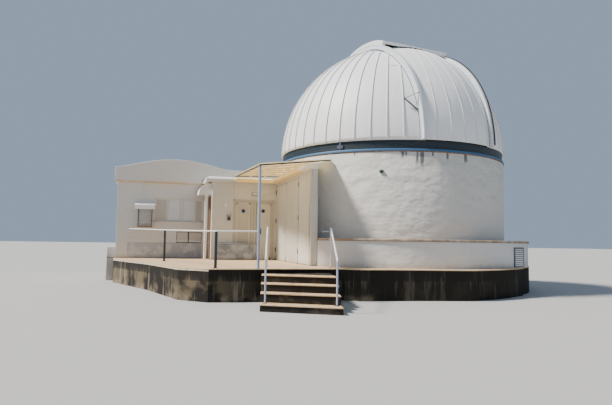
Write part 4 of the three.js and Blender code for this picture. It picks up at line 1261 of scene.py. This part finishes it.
# painted shade: a black sheet behind the hatch boards darkens the gaps round and between them
blocks("hatch_gap_shade", [(-7.609, -6.641, 3.128, 3.18, 1.451, 1.879)], shadow_black, 0, "window")

WALL_Y = 3.0997
lid = [(0, 2.99), (0.42, 2.87), (0.42, 2.712), (0.412, 2.712), (0.412, 2.863), (0, 2.981)]
end = [(0, 2.98), (0.41, 2.865), (0.41, 2.73), (0, 2.85)]
for name, outline, x0, x1 in (("cooler_lid", lid, -9.19, -8.46),
                              ("cooler_lid_left", end, -9.188, -9.182),
                              ("cooler_lid_right", end, -8.468, -8.462)):
    made = extruded(name, [(WALL_Y - out, z) for out, z in outline], x0, x1, lid_white, 0.001,
                    "cooler")
    if outline is lid:
        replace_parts(made, "cooler_box")
blocks("cooler_body", [(-9.02, -8.60, 2.83, 3.099, 2.14, 2.80)], cooler_case, 0.012, "cooler")
row("cooler_fins", (-8.99, -8.63, 2.818, 2.832, 2.17, 2.178), dark_metal, "cooler", 20,
    (0, 0, 0.03))
row("cage_wires_up", (-9.066, -9.061, 2.776, 2.781, 2.08, 2.90), wire_metal, "cooler", 18,
    (0.0301, 0, 0))
for name, *sides in (("cage_wires_across", -9.068, -8.552, 2.772, 2.777),
                     ("cage_left_wires", -9.068, -9.063, 2.775, 3.099),
                     ("cage_right_wires", -8.556, -8.551, 2.775, 3.099)):
    row(name, (*sides, 2.09, 2.095), wire_metal, "cooler", 27, (0, 0, 0.03))
cage = [(x, x + 0.028, y, y + 0.02, 2.07, 2.90) for x in (-9.07, -8.578) for y in (2.77, 3.079)]
cage += [(-9.07, -8.55, 2.77, 2.79, 2.88, 2.90)]
blocks("cage_bars", cage, dark_metal, 0.003, "cooler")
blocks("cage_sill", [(-9.08, -8.54, 2.765, 3.099, 2.04, 2.076)], brown_wood, 0.004, "cooler")
print("window group made")

# %% [markdown]
# ## Small things on the walls
# A bare plate, a call box, a lamp over the door, the brown side door under its
# hood, a small dark box high on the drum, and the louvre low in the skirt.

# %% Small things
for name, box, finish, bevel in (
    ("bare_plate", (-5.94, -5.84, 1.790, 1.7995, 2.85, 2.96), lid_white, 0.003),
    ("call_box", (-5.83, -5.70, 1.735, 1.7995, 2.32, 2.56), cooler_case, 0.012),
    ("call_box_face", (-5.815, -5.715, 1.728, 1.737, 2.34, 2.46), dark_metal, 0.004),
    ("call_box_roof", (-5.845, -5.685, 1.715, 1.7995, 2.556, 2.575), lid_white, 0.006),
):
    blocks(name, [box], finish, bevel, "window")
# the slots are thin black plates: painted shade in their openings
row("call_box_slots", (-5.80, -5.73, 1.7325, 1.7365, 2.48, 2.486), shadow_black,
    "window", 5, (0, 0, 0.013))
for name, box, finish, bevel in (
    ("lamp_base", (-4.905, -4.695, 1.77, 1.7995, 3.30, 3.41), dark_metal, 0.02),
    ("lamp_cover", (-4.895, -4.705, 1.70, 1.775, 3.31, 3.40), lamp_glass, 0.036),
):
    blocks(name, [box], finish, bevel, "window")
blocks("side_door", [(-6.432, -6.4103, 2.12, 2.90, 0.856, 3.24)], brown_wood, 0.004, "door")
blocks("side_door_rims", [(-6.440, -6.430, y, y + 0.05, 0.86, 3.24)
                          for y in (2.12, 2.485, 2.85)], brown_wood, 0.003, "door")

BOX_AT, LOUVRE_AT = 241.9, -57.6
rim = [(4.79, 4.832, -0.385, 0.385, z, z + 0.03) for z in (0.885, 1.455)]
rim += [(4.79, 4.832, y, y + 0.03, 0.885, 1.485) for y in (-0.385, 0.355)]
# painted shade: a black plate behind the louvre slats, for the dark inside of the vent
dark = [(4.80, 4.812, -0.36, 0.36, 0.91, 1.46)]
box = (4.046, 4.095, -0.062, 0.062, 3.715, 3.775)
gland = (4.046, 4.08, -0.045, 0.045, 3.685, 3.716)
for name, boxes, finish, bevel, slot, angle in (
    ("drum_box", [box], green_box, 0.006, "cooler", BOX_AT),
    ("drum_box_gland", [gland], dark_metal, 0.006, "cooler", BOX_AT),
    ("louvre_rim", rim, slate_steel, 0.003, "window", LOUVRE_AT),
    ("louvre_back_shade", dark, shadow_black, 0, "window", LOUVRE_AT),
):
    spun(blocks(name, boxes, finish, bevel, slot), angle)
spun(row("louvre_slats", (4.806, 4.812, -0.356, 0.356, 0.918, 0.958), slate_steel, "window", 9,
         (0, 0, 0.0605), kick=0.02), LOUVRE_AT)
print("small things made")

# %% [markdown]
# ## Floor and light
# The stage is a plain pale floor under an even sky. One sun stands high on the
# left and a little behind, as in the photograph, but wider and softer.

# %% Stage
bpy.ops.mesh.primitive_plane_add(size=400, location=(0, 0, -0.002))
floor = bpy.context.object
floor.name = "floor"
stage_finish = Finish("floor_finish")
floor.data.materials.append(stage_finish.surface((0.42, 0.415, 0.405), 0.95))

world = bpy.data.worlds.new("sky")
bpy.context.scene.world = world
world.use_nodes = True
sky = world.node_tree.nodes["Background"].inputs
sky["Color"].default_value, sky["Strength"].default_value = (0.60, 0.77, 1.0, 1), 0.50

sun = bpy.data.objects.new("sun", bpy.data.lights.new("sun", "SUN"))
bpy.context.scene.collection.objects.link(sun)
sun.data.energy, sun.data.angle = 7.5, math.radians(9)
sun.data.color = (1.0, 0.95, 0.88)
toward = Vector((-0.66, 0.10, 0.80)).normalized()
sun.rotation_euler = toward.to_track_quat("Z", "Y").to_euler()
